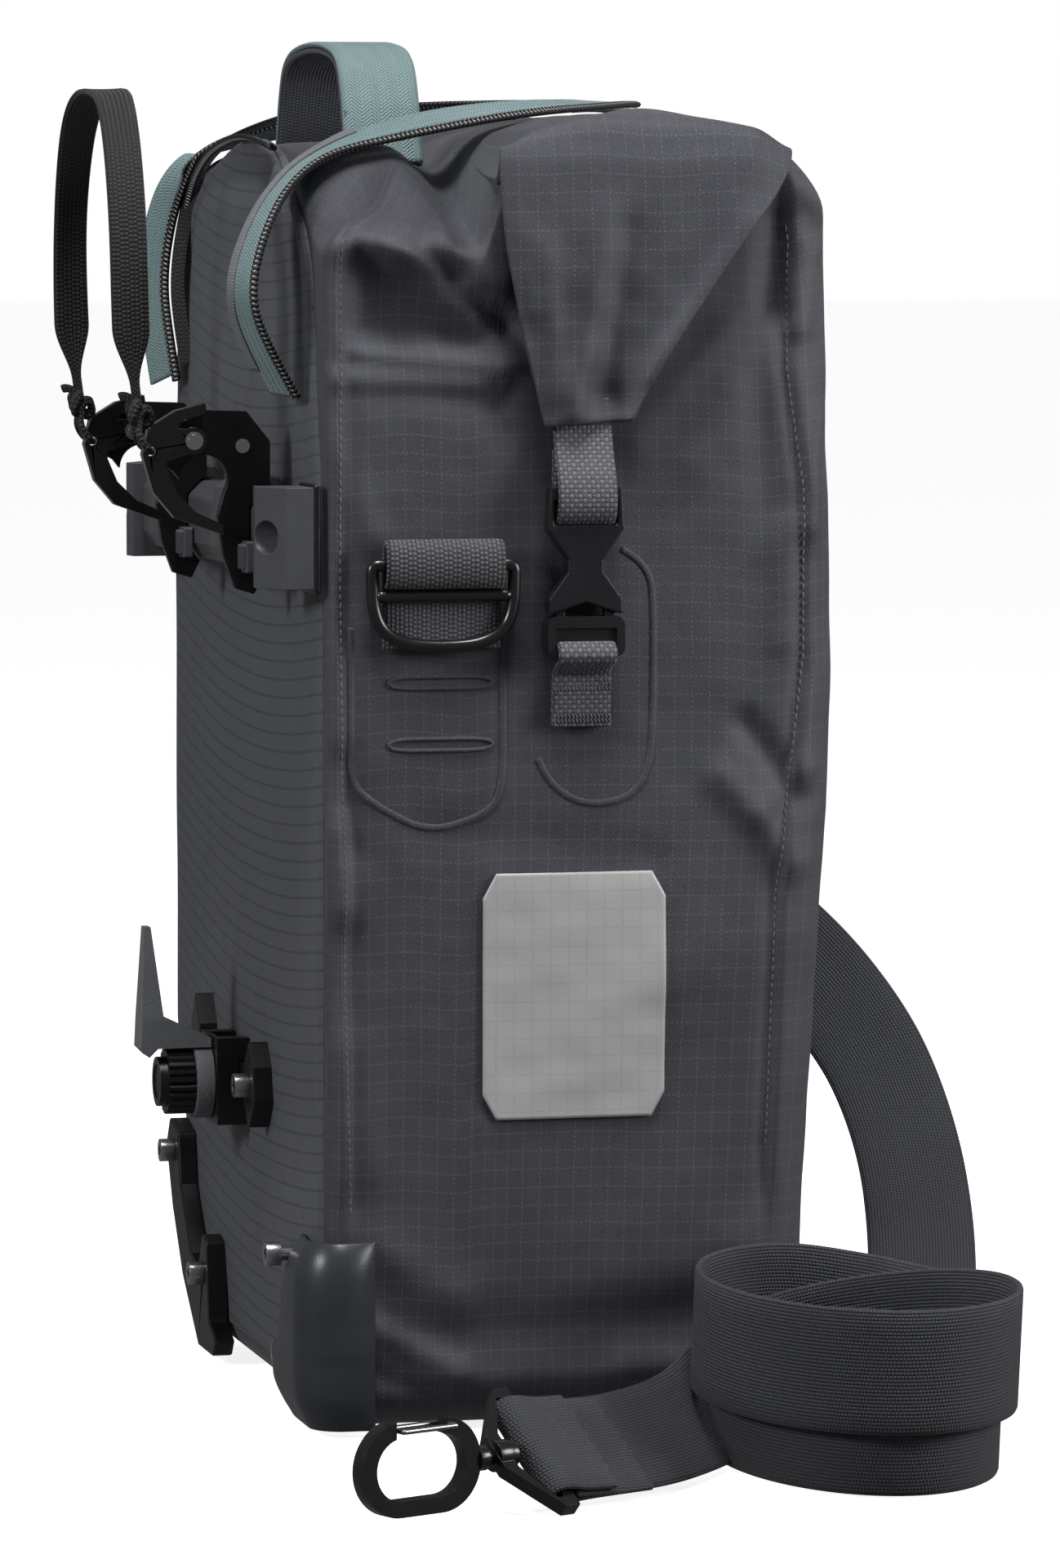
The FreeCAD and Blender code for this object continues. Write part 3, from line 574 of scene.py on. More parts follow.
def thicken(piece: bpy.types.Object, thick: float, levels: int = 0, offset: float = -1.0) -> None:
    """Gives a sheet its thickness, and optionally rounds it by subdivision."""
    wall = piece.modifiers.new("wall", "SOLIDIFY")
    wall.thickness = thick
    wall.offset = offset
    wall.use_even_offset = False
    if levels:
        soft = piece.modifiers.new("soft", "SUBSURF")
        soft.levels = levels
        soft.render_levels = levels


def merged(name: str, pieces: Sequence[bpy.types.Object]) -> bpy.types.Object:
    """Joins pieces that share a finish into one object."""
    work = bmesh.new()
    for piece in pieces:
        work.from_mesh(piece.data)
    mesh = bpy.data.meshes.new(name)
    work.to_mesh(mesh)
    work.free()
    for piece in pieces:
        old = piece.data
        bpy.data.objects.remove(piece)
        bpy.data.meshes.remove(old)
    made = bpy.data.objects.new(name, mesh)
    bpy.context.scene.collection.objects.link(made)
    return made


def wander(a: Array, b: Array, wave: float, seed: int) -> Array:
    """A smooth random height over two coordinates.

    The sum of seven sines, each with its own direction, phase and a length near wave.

    Args:
        a: First coordinate.
        b: Second coordinate.
        wave: Typical length of a wave.
        seed: Seed of the directions.

    Returns:
        Heights between about -1 and 1.
    """
    dice = np.random.default_rng(seed)
    total = 0.0
    for turn, phase, stretch in zip(dice.uniform(0, TAU, 7), dice.uniform(0, TAU, 7), dice.uniform(0.6, 1.6,
            7)):
        total = total + np.sin((a * math.cos(turn) + b * math.sin(turn)) * TAU / (wave * stretch) + phase)
    return total / 3.5


def crease(a: Array, b: Array, start: tuple[float, float], end: tuple[float, float], width: float) -> Array:
    """A soft ridge along a line from start to end, one at its crest, by distance from the segment."""
    start, end = np.array(start), np.array(end)
    run = end - start
    t = np.clip(((a - start[0]) * run[0] + (b - start[1]) * run[1]) / (run @ run), 0, 1)
    gap = np.hypot(a - start[0] - t * run[0], b - start[1] - t * run[1])
    return np.exp(-(gap / width) ** 2)


def ramp(x: Array, low: float, high: float) -> Array:
    """Smooth step from nothing at low to one at high."""
    t = np.clip((x - low) / (high - low), 0, 1)
    return t * t * (3 - 2 * t)


# ---- finishes of this bag ---------------------------------------------------------

CLOTH = Ripstop("side ripstop", shade(66, 67, 74), shade(130, 132, 140)).make()
PANEL = Ripstop("panel ripstop", shade(84, 86, 92), shade(46, 47, 52), upright_threads=0.0, rough=0.6,
                show=1.0, line=0.07).make()
TAPE = Webbing("teal tape", shade(78, 100, 103), shade(150, 176, 178), 14 * MM, 1.25 * MM, Weave.TWILL).make()
BAND = Webbing("teal band", shade(88, 110, 112), shade(146, 170, 172), 27 * MM, 1.3 * MM, Weave.TWILL).make()
LINING = Webbing("grey tape", shade(60, 61, 66), shade(98, 100, 106), 27 * MM, 1.2 * MM).make()
BACKING = Webbing("pale backing", shade(96, 98, 102), shade(140, 142, 146), 6 * MM, 1.0 * MM).make()
WEB = Webbing("buckle webbing", shade(20, 20, 24), shade(128, 129, 136), 20 * MM, 1.5 * MM,
              Weave.BASKET).make()
WEB_WIDE = Webbing("ring tab webbing", shade(20, 20, 24), shade(116, 117, 124), 40 * MM, 1.5 * MM,
                   Weave.RIB).make()
STRAP = Webbing("strap webbing", shade(8, 9, 12), shade(78, 80, 88), 40 * MM, 1.15 * MM).make()
PULL = Webbing("pull webbing", shade(12, 12, 14), shade(46, 46, 50), 13 * MM, 1.5 * MM).make()
# the coil's near-white second colour is painted highlight on its black loops
COILS = ZipCoil("zip coil", shade(14, 14, 16), shade(215, 216, 218)).make()
THREADS = Moulded("sewing thread", shade(104, 106, 114), 0.7, 0.0001, 2500.0).make()
DARK_STITCH = Moulded("dark thread", shade(40, 41, 46), 0.7, 0.0001, 2500.0).make()
RAIL = Moulded("rail plastic", shade(74, 75, 80), 0.48, 0.0001, 900.0).make()
BLACK = Moulded("black plastic", shade(17, 17, 19), 0.34).make()
BUCKLE = Moulded("buckle plastic", shade(24, 24, 28), 0.36, 0.00009, 1100.0).make()
GLOSS = Moulded("gloss black", shade(14, 14, 15), 0.2, 0.00001, 500.0, coat=0.6).make()
HOOK = Moulded("coated hook", shade(40, 40, 43), 0.34, 0.00003, 1500.0, metal=0.65).make()
PAINTED = Moulded("painted metal", shade(20, 20, 22), 0.3, 0.00003, 1800.0, coat=0.35).make()
GUARD = Moulded("guard plastic", shade(52, 54, 60), 0.33, 0.00004, 1600.0).make()
BLADE = Moulded("blade plastic", shade(112, 114, 118), 0.55, 0.0002, 700.0).make()
SILVER = Brushed("bolt steel", shade(205, 205, 208), 0.28).make()
INNER = Moulded("stiffener board", shade(38, 38, 40), 0.7).make()
WIRE = Brushed("gate wire", shade(170, 171, 174), 0.25).make()


@dataclass(frozen=True)
class Reflective:
    """Pale reflective print on ripstop."""

    name: str = "reflective print"
    colour: Colour = shade(196, 194, 194)

    def make(self) -> bpy.types.Material:
        """The cloth's grid shows through as a faint relief."""
        s = Shader(self.name)
        _, y, z = s.axes(s.place())
        lines = (y / (6.1 * MM)).fract().band(0.5, 0.06).larger((z / (6.1 * MM)).fract().band(0.5, 0.06))
        beads = s.noise(1800.0, 2.0, 0.7)
        cloud = s.noise(30.0, 3.0)
        low = tuple(c * 0.82 for c in self.colour[:3]) + (1.0,)
        tone = s.blend(beads * 0.5 + cloud * 0.4 - lines * 0.25, low, self.colour)
        return s.finish(tone, 0.5, beads * 0.3 + lines * 0.7, 0.00012, Metallic=0.15)


REFLECT = Reflective().make()


# ---- the fabric body -----------------------------------------------------------------

SECTIONS = np.array([          # height, half width, front, back, corner radius, in millimetres
    (0.0, 127.0, -79.0, 79.0, 12.0),
    (9.0, 133.0, -80.0, 84.0, 14.0),
    (60.0, 135.0, -81.5, 84.0, 14.0),
    (150.0, 135.5, -86.0, 84.0, 15.0),
    (205.0, 136.0, -90.0, 84.0, 16.0),
    (310.0, 136.0, -90.0, 84.0, 16.0),
    (404.0, 134.5, -88.0, 84.0, 18.0),
    (440.0, 134.0, -86.0, 84.0, 18.0),
]) * MM
HEEL = np.array([(-1, 42), (24, 82), (62, 113), (112, 136.5), (150, 150)]) * MM      # height, furthest X
FRONT_SEAM = np.array([(93, -68.9), (176, -71.6), (257, -81.4), (312, -81.0), (353, -75.5), (394, -78.0),
                       (410, -76.0)]) * MM                                            # height, Y
BACK_SEAM = np.array([(60, 78), (125, 80.2), (179, 80.5), (260, 81.5), (324, 81.8), (356, 81.0),
                      (398, 80.6)]) * MM
CREASES = (                    # start (Y, Z), end (Y, Z), width, height; millimetres on a side
    ((-58, 234), (-76, 210), 5.0, -2.6), ((-50, 217), (-74, 188), 6.0, 2.4), ((-62, 205), (-78, 219), 5.0,
            1.8),
    ((-72, 300), (-70, 262), 6.0, 1.4), ((-86, 334), (-80, 300), 5.0, 2.2), ((-62, 350), (-66, 306), 7.0,
            -1.6),
    ((-84, 392), (-78, 366), 4.5, 2.6), ((-70, 402), (-68, 372), 5.0, -4.2), ((-58, 352), (-40, 322), 9.0,
            1.8),
    ((-20, 330), (-52, 366), 7.0, 1.7), ((78, 40), (40, 20), 5.0, 2.4), ((84, 26), (48, 11), 4.0, -1.8),
    ((66, 62), (40, 44), 8.0, 1.3), ((84, 330), (70, 300), 6.0, 1.2), ((83, 200), (80, 176), 7.0, 3.2),
    ((80, 222), (76, 196), 6.0, -1.7), ((78, 128), (72, 90), 8.0, 1.5), ((28, 345), (74, 352), 8.0, -2.6),
    ((10, 196), (-24, 190), 9.0, -1.0), ((52, 200), (24, 198), 7.0, -0.9), ((-56, 60), (-80, 30), 9.0, 1.2),
    ((-20, 22), (-74, 16), 7.0, 1.6), ((-74, 19), (60, 13), 7.0, 2.4), ((-60, 38), (62, 32), 8.0,
            -1.6), ((60, 262), (70, 226), 9.0, 0.9), ((-34, 150), (-80, 166), 12.0, 0.9),
)


@dataclass
class PannierBody:
    """The welded fabric bag: a lofted shell with seams, folds and a closed top."""

    near_count: int = 108
    front_count: int = 54
    corner_count: int = 10
    wall_rows: int = 190
    crown: float = 434 * MM
    roll_back: float = 25 * MM
    welt_radius: float = 5.5 * MM

    def section(self, z: Array) -> tuple[Array, Array, Array, Array]:
        """Half width, front, back and corner radius at some heights."""
        return tuple(np.interp(z, SECTIONS[:, 0], SECTIONS[:, k]) for k in (1, 2, 3, 4))

    def top_height(self, x: Array, y: Array) -> Array:
        """Height of the top surface.

        The roll is a long low crown; the arched lid falls to both sides; a valley lies between.

        Args:
            x: Across.
            y: Front to back.

        Returns:
            Heights.
        """
        roll = self.crown + 1.5 * MM - 3.4 * (y + 0.024) ** 2
        arch = 0.428 - 0.019 * np.minimum((x / 0.104) ** 2, 1.35)
        arch = arch + 0.011 * np.exp(-((np.abs(x) - 0.088) / 0.017) ** 2) * ramp(y, 0.035, 0.055)
        mixed = roll + (arch - roll) * ramp(y, self.roll_back, self.roll_back + 0.016)
        outer = 0.35 + 0.65 * ramp(np.abs(x), 0.05, 0.12)
        valley = 0.016 * outer * np.exp(-((y - self.roll_back - 0.005) / 0.0075) ** 2)
        return mixed - valley

    def edge_height(self, x: Array, y: Array) -> Array:
        """Height at which a wall starts to turn into the top."""
        return self.top_height(x, y) - (0.012 + 0.007 * ramp(-y, -0.03, 0.06))

    def side_relief(self, y: Array, z: Array, far: bool = False) -> Array:
        """How far a side stands out from its plain loft.

        Creases, slow waves, a welted seam near the front and the back, and the hollow under
        the rear corner's brow.

        Args:
            y: Front to back.
            z: Height.
            far: Whether it is the far side, whose waves differ.

        Returns:
            Distance outwards.
        """
        seed = 40 if far else 10
        a, b = y / MM, z / MM
        total = 0.8 * MM * wander(a, b, 120, seed) + 0.28 * MM * wander(a, b, 40, seed + 1)
        total = total + 0.10 * MM * wander(a, b, 16, seed + 2)
        belly = np.exp(-((a - 2) / 60) ** 2 - ((b - 190) / 170) ** 2)
        total = total + 1.6 * MM * belly
        for start, end, width, height in CREASES:
            total = total + height * MM * crease(a, b, start, end, width)
        front = np.interp(z, FRONT_SEAM[:, 0], FRONT_SEAM[:, 1]) / MM
        back = np.interp(z, BACK_SEAM[:, 0], BACK_SEAM[:, 1]) / MM
        welt = 1.3 * np.exp(-((a - front) / 1.5) ** 2) - 1.3 * np.exp(-((a - front - 4.6) / 2.6) ** 2)
        welt = welt + 0.9 * np.exp(-((a - back) / 1.6) ** 2) - 1.2 * np.exp(-((a - back + 5) / 3.0) ** 2)
        total = total + welt * MM * ramp(b, 60, 90)
        inside = ramp(a, 10, 24) * ramp(-a, -82, -70)
        floor = 352 + 0.10 * (a - 20)
        hollow = 9.0 * MM * inside * ramp(b, floor, floor + 9) * (1 - ramp(b, 372 + 0.5 * (a - 34),
                384 + 0.7 * (a - 34)))
        brow = 5.5 * MM * crease(a, b, (84, 402), (60, 392), 9) + 6.5 * MM * crease(a, b, (64, 396), (24,
                360), 7)
        brow = brow - 3.4 * MM * crease(a, b, (72, 408), (40, 384), 5) + 3.0 * MM * crease(a, b, (58, 412),
                (26, 380), 6)
        brow = brow + 2.4 * MM * crease(a, b, (82, 350), (26, 347), 4.0)
        behind = 6.0 * MM * ramp(-a, 4, 40) * ramp(a + (430 - b) * 0.72, -76, -58) * ramp(b, 346, 392)
        tuck = 3.0 * MM * np.exp(-((b - 3) / 9) ** 2)
        return total - hollow + brow - behind - tuck

    def front_relief(self, x: Array, z: Array) -> Array:
        """How far the front stands out: slow waves and a few long folds."""
        a, b = x / MM, z / MM
        total = 1.1 * MM * wander(a, b, 130, 71) + 0.3 * MM * wander(a, b, 38, 72)
        total = total + 1.2 * MM * crease(a, b, (-92, 214), (-30, 196), 9)
        total = total - 1.0 * MM * crease(a, b, (-96, 236), (-50, 226), 8)
        return total + 1.5 * MM * crease(a, b, (60, 330), (128, 352), 10)

    def side_x(self, y: Array, z: Array, side: int) -> Array:
        """X of a side's surface at some points."""
        half = self.section(np.asarray(z, float))[0]
        return side * (half + self.side_relief(np.asarray(y, float), np.asarray(z, float), side > 0))

    def columns(self) -> tuple[Array, Array, Array, Array]:
        """Places around the section.

        Returns:
            The corner square's x and y from -1 to 1, and the outward normal's x and y.
        """
        def run(count: int) -> Array:
            """Even steps without the last."""
            return np.linspace(-1, 1, count, endpoint=False)

        turn = np.linspace(0, math.pi / 2, self.corner_count, endpoint=False)
        sx, sy, nx, ny = [], [], [], []
        heading = math.pi
        for count in (self.near_count, self.front_count, self.near_count, self.front_count):
            along = run(count)
            normal = np.array([math.cos(heading), math.sin(heading)])
            forward = np.array([-normal[1], normal[0]])
            sx.append(normal[0] + forward[0] * along)
            sy.append(normal[1] + forward[1] * along)
            nx.append(np.full(count, normal[0]))
            ny.append(np.full(count, normal[1]))
            sx.append(np.full(self.corner_count, normal[0] + forward[0]))
            sy.append(np.full(self.corner_count, normal[1] + forward[1]))
            nx.append(np.cos(heading + turn))
            ny.append(np.sin(heading + turn))
            heading += math.pi / 2
        return tuple(np.concatenate(part) for part in (sx, sy, nx, ny))

    def ring(self, z: Array, inset: Array, columns: tuple) -> tuple[Array, Array]:
        """Section points at some heights, pulled in by an inset.

        Args:
            z: Heights, one for each row and column.
            inset: Distance inwards, likewise.
            columns: What columns() gives.

        Returns:
            X and Y of the points.
        """
        sx, sy, nx, ny = columns
        half, front, back, radius = self.section(z)
        far = np.minimum(half, np.interp(z, HEEL[:, 0], HEEL[:, 1]))
        wide, deep = (half + far) / 2, (back - front) / 2
        middle_x, middle_y = (far - half) / 2, (back + front) / 2
        radius = radius + (self.welt_radius - radius) * np.clip((sy + 1) / 2, 0, 1)
        r = np.maximum(radius - inset * 0.3, 2 * MM)
        x = middle_x + sx * (wide - inset - r) + nx * r
        y = middle_y + sy * (deep - inset - r) + ny * r
        return x, y

    def surface(self) -> tuple[Array, Array]:
        """The whole shell as a grid.

        Rows run from the middle of the base, round its edge, up the wall, round the top edge
        and over the top to its middle. The wall is then moved along its normal by the reliefs.

        Returns:
            Points of shape (columns, rows, 3), and cloth coordinates.
        """
        columns = self.columns()
        count = len(columns[0])
        foot = 11 * MM
        base = np.linspace(0.0, 1.0, 9, endpoint=False)
        curl = np.linspace(0, math.pi / 2, 9, endpoint=False)
        rows = []
        edge_x, edge_y = self.ring(np.full(count, 0.0), np.full(count, foot), columns)
        for share in base:
            rows.append(np.stack([edge_x * share, edge_y * share, np.full(count, 0.6 * MM)], 1))
        for angle in curl:
            z = np.full(count, foot * (1 - math.cos(angle)) + 0.6 * MM)
            x, y = self.ring(z, np.full(count, foot * (1 - math.sin(angle))), columns)
            rows.append(np.stack([x, y, z], 1))
        x, y = self.ring(np.full(count, 0.4), np.zeros(count), columns)
        rim = self.edge_height(x, y)
        lift = np.linspace(0, 1, self.wall_rows)
        for share in lift:
            z = foot + 0.6 * MM + (rim - foot - 0.6 * MM) * share
            x, y = self.ring(z, np.zeros(count), columns)
            rows.append(np.stack([x, y, z], 1))
        bend = np.linspace(0, math.pi / 2, 13)[1:]
        reach = 0.019
        for angle in bend:
            x, y = self.ring(rim, np.full(count, reach * (1 - math.cos(angle))), columns)
            top = self.top_height(x, y)
            rows.append(np.stack([x, y, rim + (top - rim) * math.sin(angle)], 1))
        end_x, end_y = x, y
        for share in np.linspace(0, 1, 26)[1:]:
            x = end_x * (1 - share)
            y = end_y * (1 - share) - 0.004 * share
            rows.append(np.stack([x, y, self.top_height(x, y)], 1))
        points = np.stack(rows, 1)
        points = self.relieved(points)
        closed = np.concatenate([points, points[:1]], 0)
        middle = len(base) + len(curl) + self.wall_rows // 2
        around = np.concatenate([[0], np.cumsum(np.linalg.norm(np.diff(closed[:, middle], axis=0), axis=1))])
        up = np.concatenate([np.zeros((len(closed), 1)),
                             np.cumsum(np.linalg.norm(np.diff(closed, axis=1), axis=2), axis=1)], 1)
        start = len(base) + len(curl)
        up = up - up[:, start:start + 1]
        return points, np.stack([np.broadcast_to(around[:, None], up.shape), up], -1)

    def relieved(self, points: Array) -> Array:
        """Moves each wall along its own axis by its relief, eased out round the corners."""
        x, y, z = points[..., 0], points[..., 1], points[..., 2]
        half, front = self.section(z)[:2]
        heel = np.interp(z, HEEL[:, 0], HEEL[:, 1])
        fade = ramp(z, 0.001, 0.02) * (1 - ramp(z, self.edge_height(x, y) - 2 * MM, self.top_height(x, y)))
        near = ramp(-x, half - 0.020, half - 0.004)
        far = ramp(x, np.minimum(half, heel) - 0.016, np.minimum(half, heel) - 0.002)
        ahead = ramp(-y, -front - 0.016, -front - 0.002)
        moved = points.copy()
        moved[..., 0] -= self.side_relief(y, z) * near * fade
        moved[..., 0] += self.side_relief(y, z, True) * far * fade * ramp(z, 0.05, 0.12)
        moved[..., 1] -= self.front_relief(x, z) * ahead * fade
        moved[..., 2] += 1.2 * MM * wander(x / MM, y / MM, 60, 5) * ramp(z, 0.40, 0.43)
        return moved

    def build(self) -> bpy.types.Object:
        """Makes the shell, which stands for the shell and the lid of the rear sleeve."""
        points, uv = self.surface()
        shell = grid_piece("bag_shell", points, uv, around=True)
        weld(shell, 1e-5)
        turn_outwards(shell)
        return dress(shell, CLOTH, "bag", "main_shell", "rear_lid")

    def stitches(self) -> bpy.types.Object:
        """Rows of stitches along the side seams, each stitch a short six-sided thread."""
        rows = []
        for side in (-1, 1):
            for seam, low, high in ((FRONT_SEAM, 0.094, 0.400), (BACK_SEAM, 0.075, 0.394)):
                z = np.arange(low, high, 2.9 * MM)
                offset = 3.2 * MM if seam is FRONT_SEAM else -2.0 * MM
                y = np.interp(z, seam[:, 0], seam[:, 1]) + offset
                x = self.side_x(y, z, side) + side * 0.1 * MM
                rows.append(np.stack([x, y, z], 1))
        centres = np.concatenate(rows)
        return dress(beads("seam_stitches", centres, np.array([0, 0, 1.0]), 1.05 * MM, 0.3 * MM), THREADS,
                     "bag")


def beads(name: str, centres: Array, axis: Array, half: float, radius: float) -> bpy.types.Object:
    """Short spindles with six sides, one at each centre.

    Args:
        name: The piece's name.
        centres: Where they lie.
        axis: Their direction, one or one for each.
        half: Half their length.
        radius: Their radius.

    Returns:
        One object of them all.
    """
    axis = unit(np.broadcast_to(np.asarray(axis, float), centres.shape))
    helper = np.where(np.abs(axis[:, :1]) < 0.9, np.array([[1.0, 0, 0]]), np.array([[0, 1.0, 0]]))
    one = unit(np.cross(axis, helper))
    two = np.cross(axis, one)
    turn = np.arange(6) * (TAU / 6)
    steps = ((-1.0, 0.35), (-0.55, 1.0), (0.55, 1.0), (1.0, 0.35))
    rings = [centres[:, None] + axis[:, None] * half * at
             + (one[:, None] * np.cos(turn)[:, None] + two[:, None] * np.sin(turn)[:, None]) * radius * wide
             for at, wide in steps]
    points = np.stack(rings, 1).reshape(-1, 3)
    ring = np.arange(6)
    level = np.arange(3)[:, None] * 6
    quads = np.stack([level + ring, level + (ring + 1) % 6, level + 6 + (ring + 1) % 6, level + 6 + ring], -1)
    quads = quads.reshape(1, -1, 4) + (np.arange(len(centres)) * 24)[:, None, None]
    caps = [np.arange(6)[::-1] + n for n in range(0, len(points),
                                                  24)] + [np.arange(6) + 18 + n for n in range(0,
                                                          len(points), 24)]
    made = mesh_piece(name, points, quads.reshape(-1, 4), np.zeros((quads.size, 2)), caps)
    turn_outwards(made)
    return made


@dataclass
class RollClosure:
    """The roll's outer turn: over the top and down each end as a folded flap."""

    body: PannierBody

    def sheet(self, side: int) -> tuple[Array, Array]:
        """One end of the roll.

        The first direction runs from the top over the end and down to the flap's hem. The
        second runs from the rear edge to the front edge, which slants on the flap.

        Args:
            side: -1 near, 1 far.

        Returns:
            Points and cloth coordinates.
        """
        ctrl = np.array([(60, 436.0, 25, -66), (90, 435.5, 25.5, -70), (120, 435, 26.5, -74), (136, 433,
                27.2, -75),
                         (143.5, 425, 27.6, -74), (145.0, 411, 27.4, -66.5), (146.2, 394, 26.2, -54.5),
                         (146.0, 372, 22.0, -39), (145.2, 352, 16.8, -25.5), (144.0, 334.5, 12.6,
                                 -16.5)]) * MM
        line = smooth_line(ctrl, 120)
        line, = even(line, 120)
        q = np.linspace(0, 1, 100)
        x = np.broadcast_to(line[:, None, 0], (120, 100)).copy()
        y = line[:, None, 2] + (line[:, None, 3] - line[:, None, 2]) * q
        drop = ramp(line[:, 1], 0.425, 0.434)[:, None]
        z = line[:, None, 1] + (self.body.top_height(x, y) + 1.2 * MM - line[:, None, 1]) * drop
        down = np.clip((0.432 - z) / 0.1, 0, 1)
        z = z + 2.5 * MM * (q - 0.5) * down
        a, b = y / MM, z / MM
        pleat = 4.2 * crease(a, b, (-8, 404), (3, 338), 5.5) - 4.4 * crease(a, b, (-17, 398), (-9, 345), 6.5)
        pleat = pleat + 2.2 * crease(a, b, (14, 394), (8, 345), 5.0) - 1.8 * crease(a, b, (-42, 396), (-22,
                362), 7.0)
        pleat = pleat + 2.4 * crease(a, b, (-58, 402), (-24, 350), 4.0) + 1.2 * crease(a, b, (24, 410), (18,
                372), 4.0)
        pleat = pleat + 1.4 * wander(a, b, 44, 21) + 0.4 * wander(a, b, 17, 22)
        fringe = np.minimum(q, 1 - q) * 9
        x = x + pleat * MM * down * np.clip(fringe + 0.35, 0, 1)
        tip = ramp(q, 0.86, 1.0) * ramp(line[:, 1], 0.398, 0.428)[:, None]
        x = x - 6.0 * MM * tip + 3.4 * MM * np.exp(-((1 - q) / 0.13) ** 2) * down * (1 - tip)
        z = z - 4.0 * MM * tip
        z = z + 1.0 * MM * wander(x / MM, a, 46, 23 + side) * (1 - down)
        points = np.stack([side * x, y, z], -1)
        along = lengths(line[:, :2])
        uv = np.stack([y, np.broadcast_to(along[:, None], y.shape)], -1)
        return points, uv

    def build(self) -> None:
        """Makes the near and the far end, and the fold that ends each flap's hem."""
        for side, name in ((-1, "near"), (1, "far")):
            points, uv = self.sheet(side)
            flap = grid_piece("roll_flap_" + name, points, uv)
            if side > 0:
                flap.data.flip_normals()
            thicken(flap, 2.6 * MM, 1, offset=-1.0)
            if side < 0:
                dress(flap, CLOTH, "bag", "rolled_top", "roll_ends")
            else:
                dress(flap, CLOTH, "bag")


@dataclass
class BackPanel:
    """The stiffened cloth on the rack side, arched at its top."""

    def half(self, z: Array) -> Array:
        """Half width at a height: straight sides, then an arch of an ellipse."""
        arch = np.sqrt(np.clip(1 - ((z - 0.372) / 0.0575) ** 2, 0.0, 1))
        return np.where(z < 0.372, np.interp(z, [0.014, 0.3, 0.372], [0.130, 0.130, 0.116]), 0.116 * arch)

    def build(self) -> bpy.types.Object:
        """Rows rise towards the arch with closer steps near its top; the cloth swells a little."""
        rise = np.concatenate([np.linspace(0.014, 0.372, 150, endpoint=False),
                               0.372 + 0.0572 * np.sin(np.linspace(0, math.pi / 2, 44))])
        u, z = np.meshgrid(np.linspace(-1, 1, 150), rise, indexing="ij")
        half = self.half(z)
        far = np.minimum(half, np.interp(z, [-0.001, 0.014, 0.030, 0.064, 0.110, 0.15], [0.03, 0.046, 0.08,
                0.108, 0.129, 0.2]))
        x = (far - half) / 2 + u * (far + half) / 2
        a, b = x / MM, z / MM
        swell = 1.6 * np.exp(-(a / 95) ** 2) * ramp(b, 10, 60) + 0.5 * wander(a, b, 90,
                51) + 0.18 * wander(a, b, 30, 52)
        channel = -1.3 * np.exp(-((np.abs(a) - half / MM * 0.86) / 3.4) ** 2) * ramp(b, 300, 350)
        edge = (1 - np.abs(u)) * (half / MM)
        y = 0.0843 + (1.2 * np.clip(edge / 3, 0, 1) + (swell + channel) * np.clip(edge / 14, 0, 1)) * MM
        y = y - 0.004 * ramp(z, 0.405, 0.430)
        points = np.stack([x, y, z], -1)
        sag = z - 0.006 * (x / 0.13) - 0.011 * (x / 0.13) ** 2
        panel = grid_piece("rack_panel", points, np.stack([x, sag], -1))
        thicken(panel, 1.3 * MM, 0, offset=1.0)
        return dress(panel, PANEL, "bag", "back_panel")


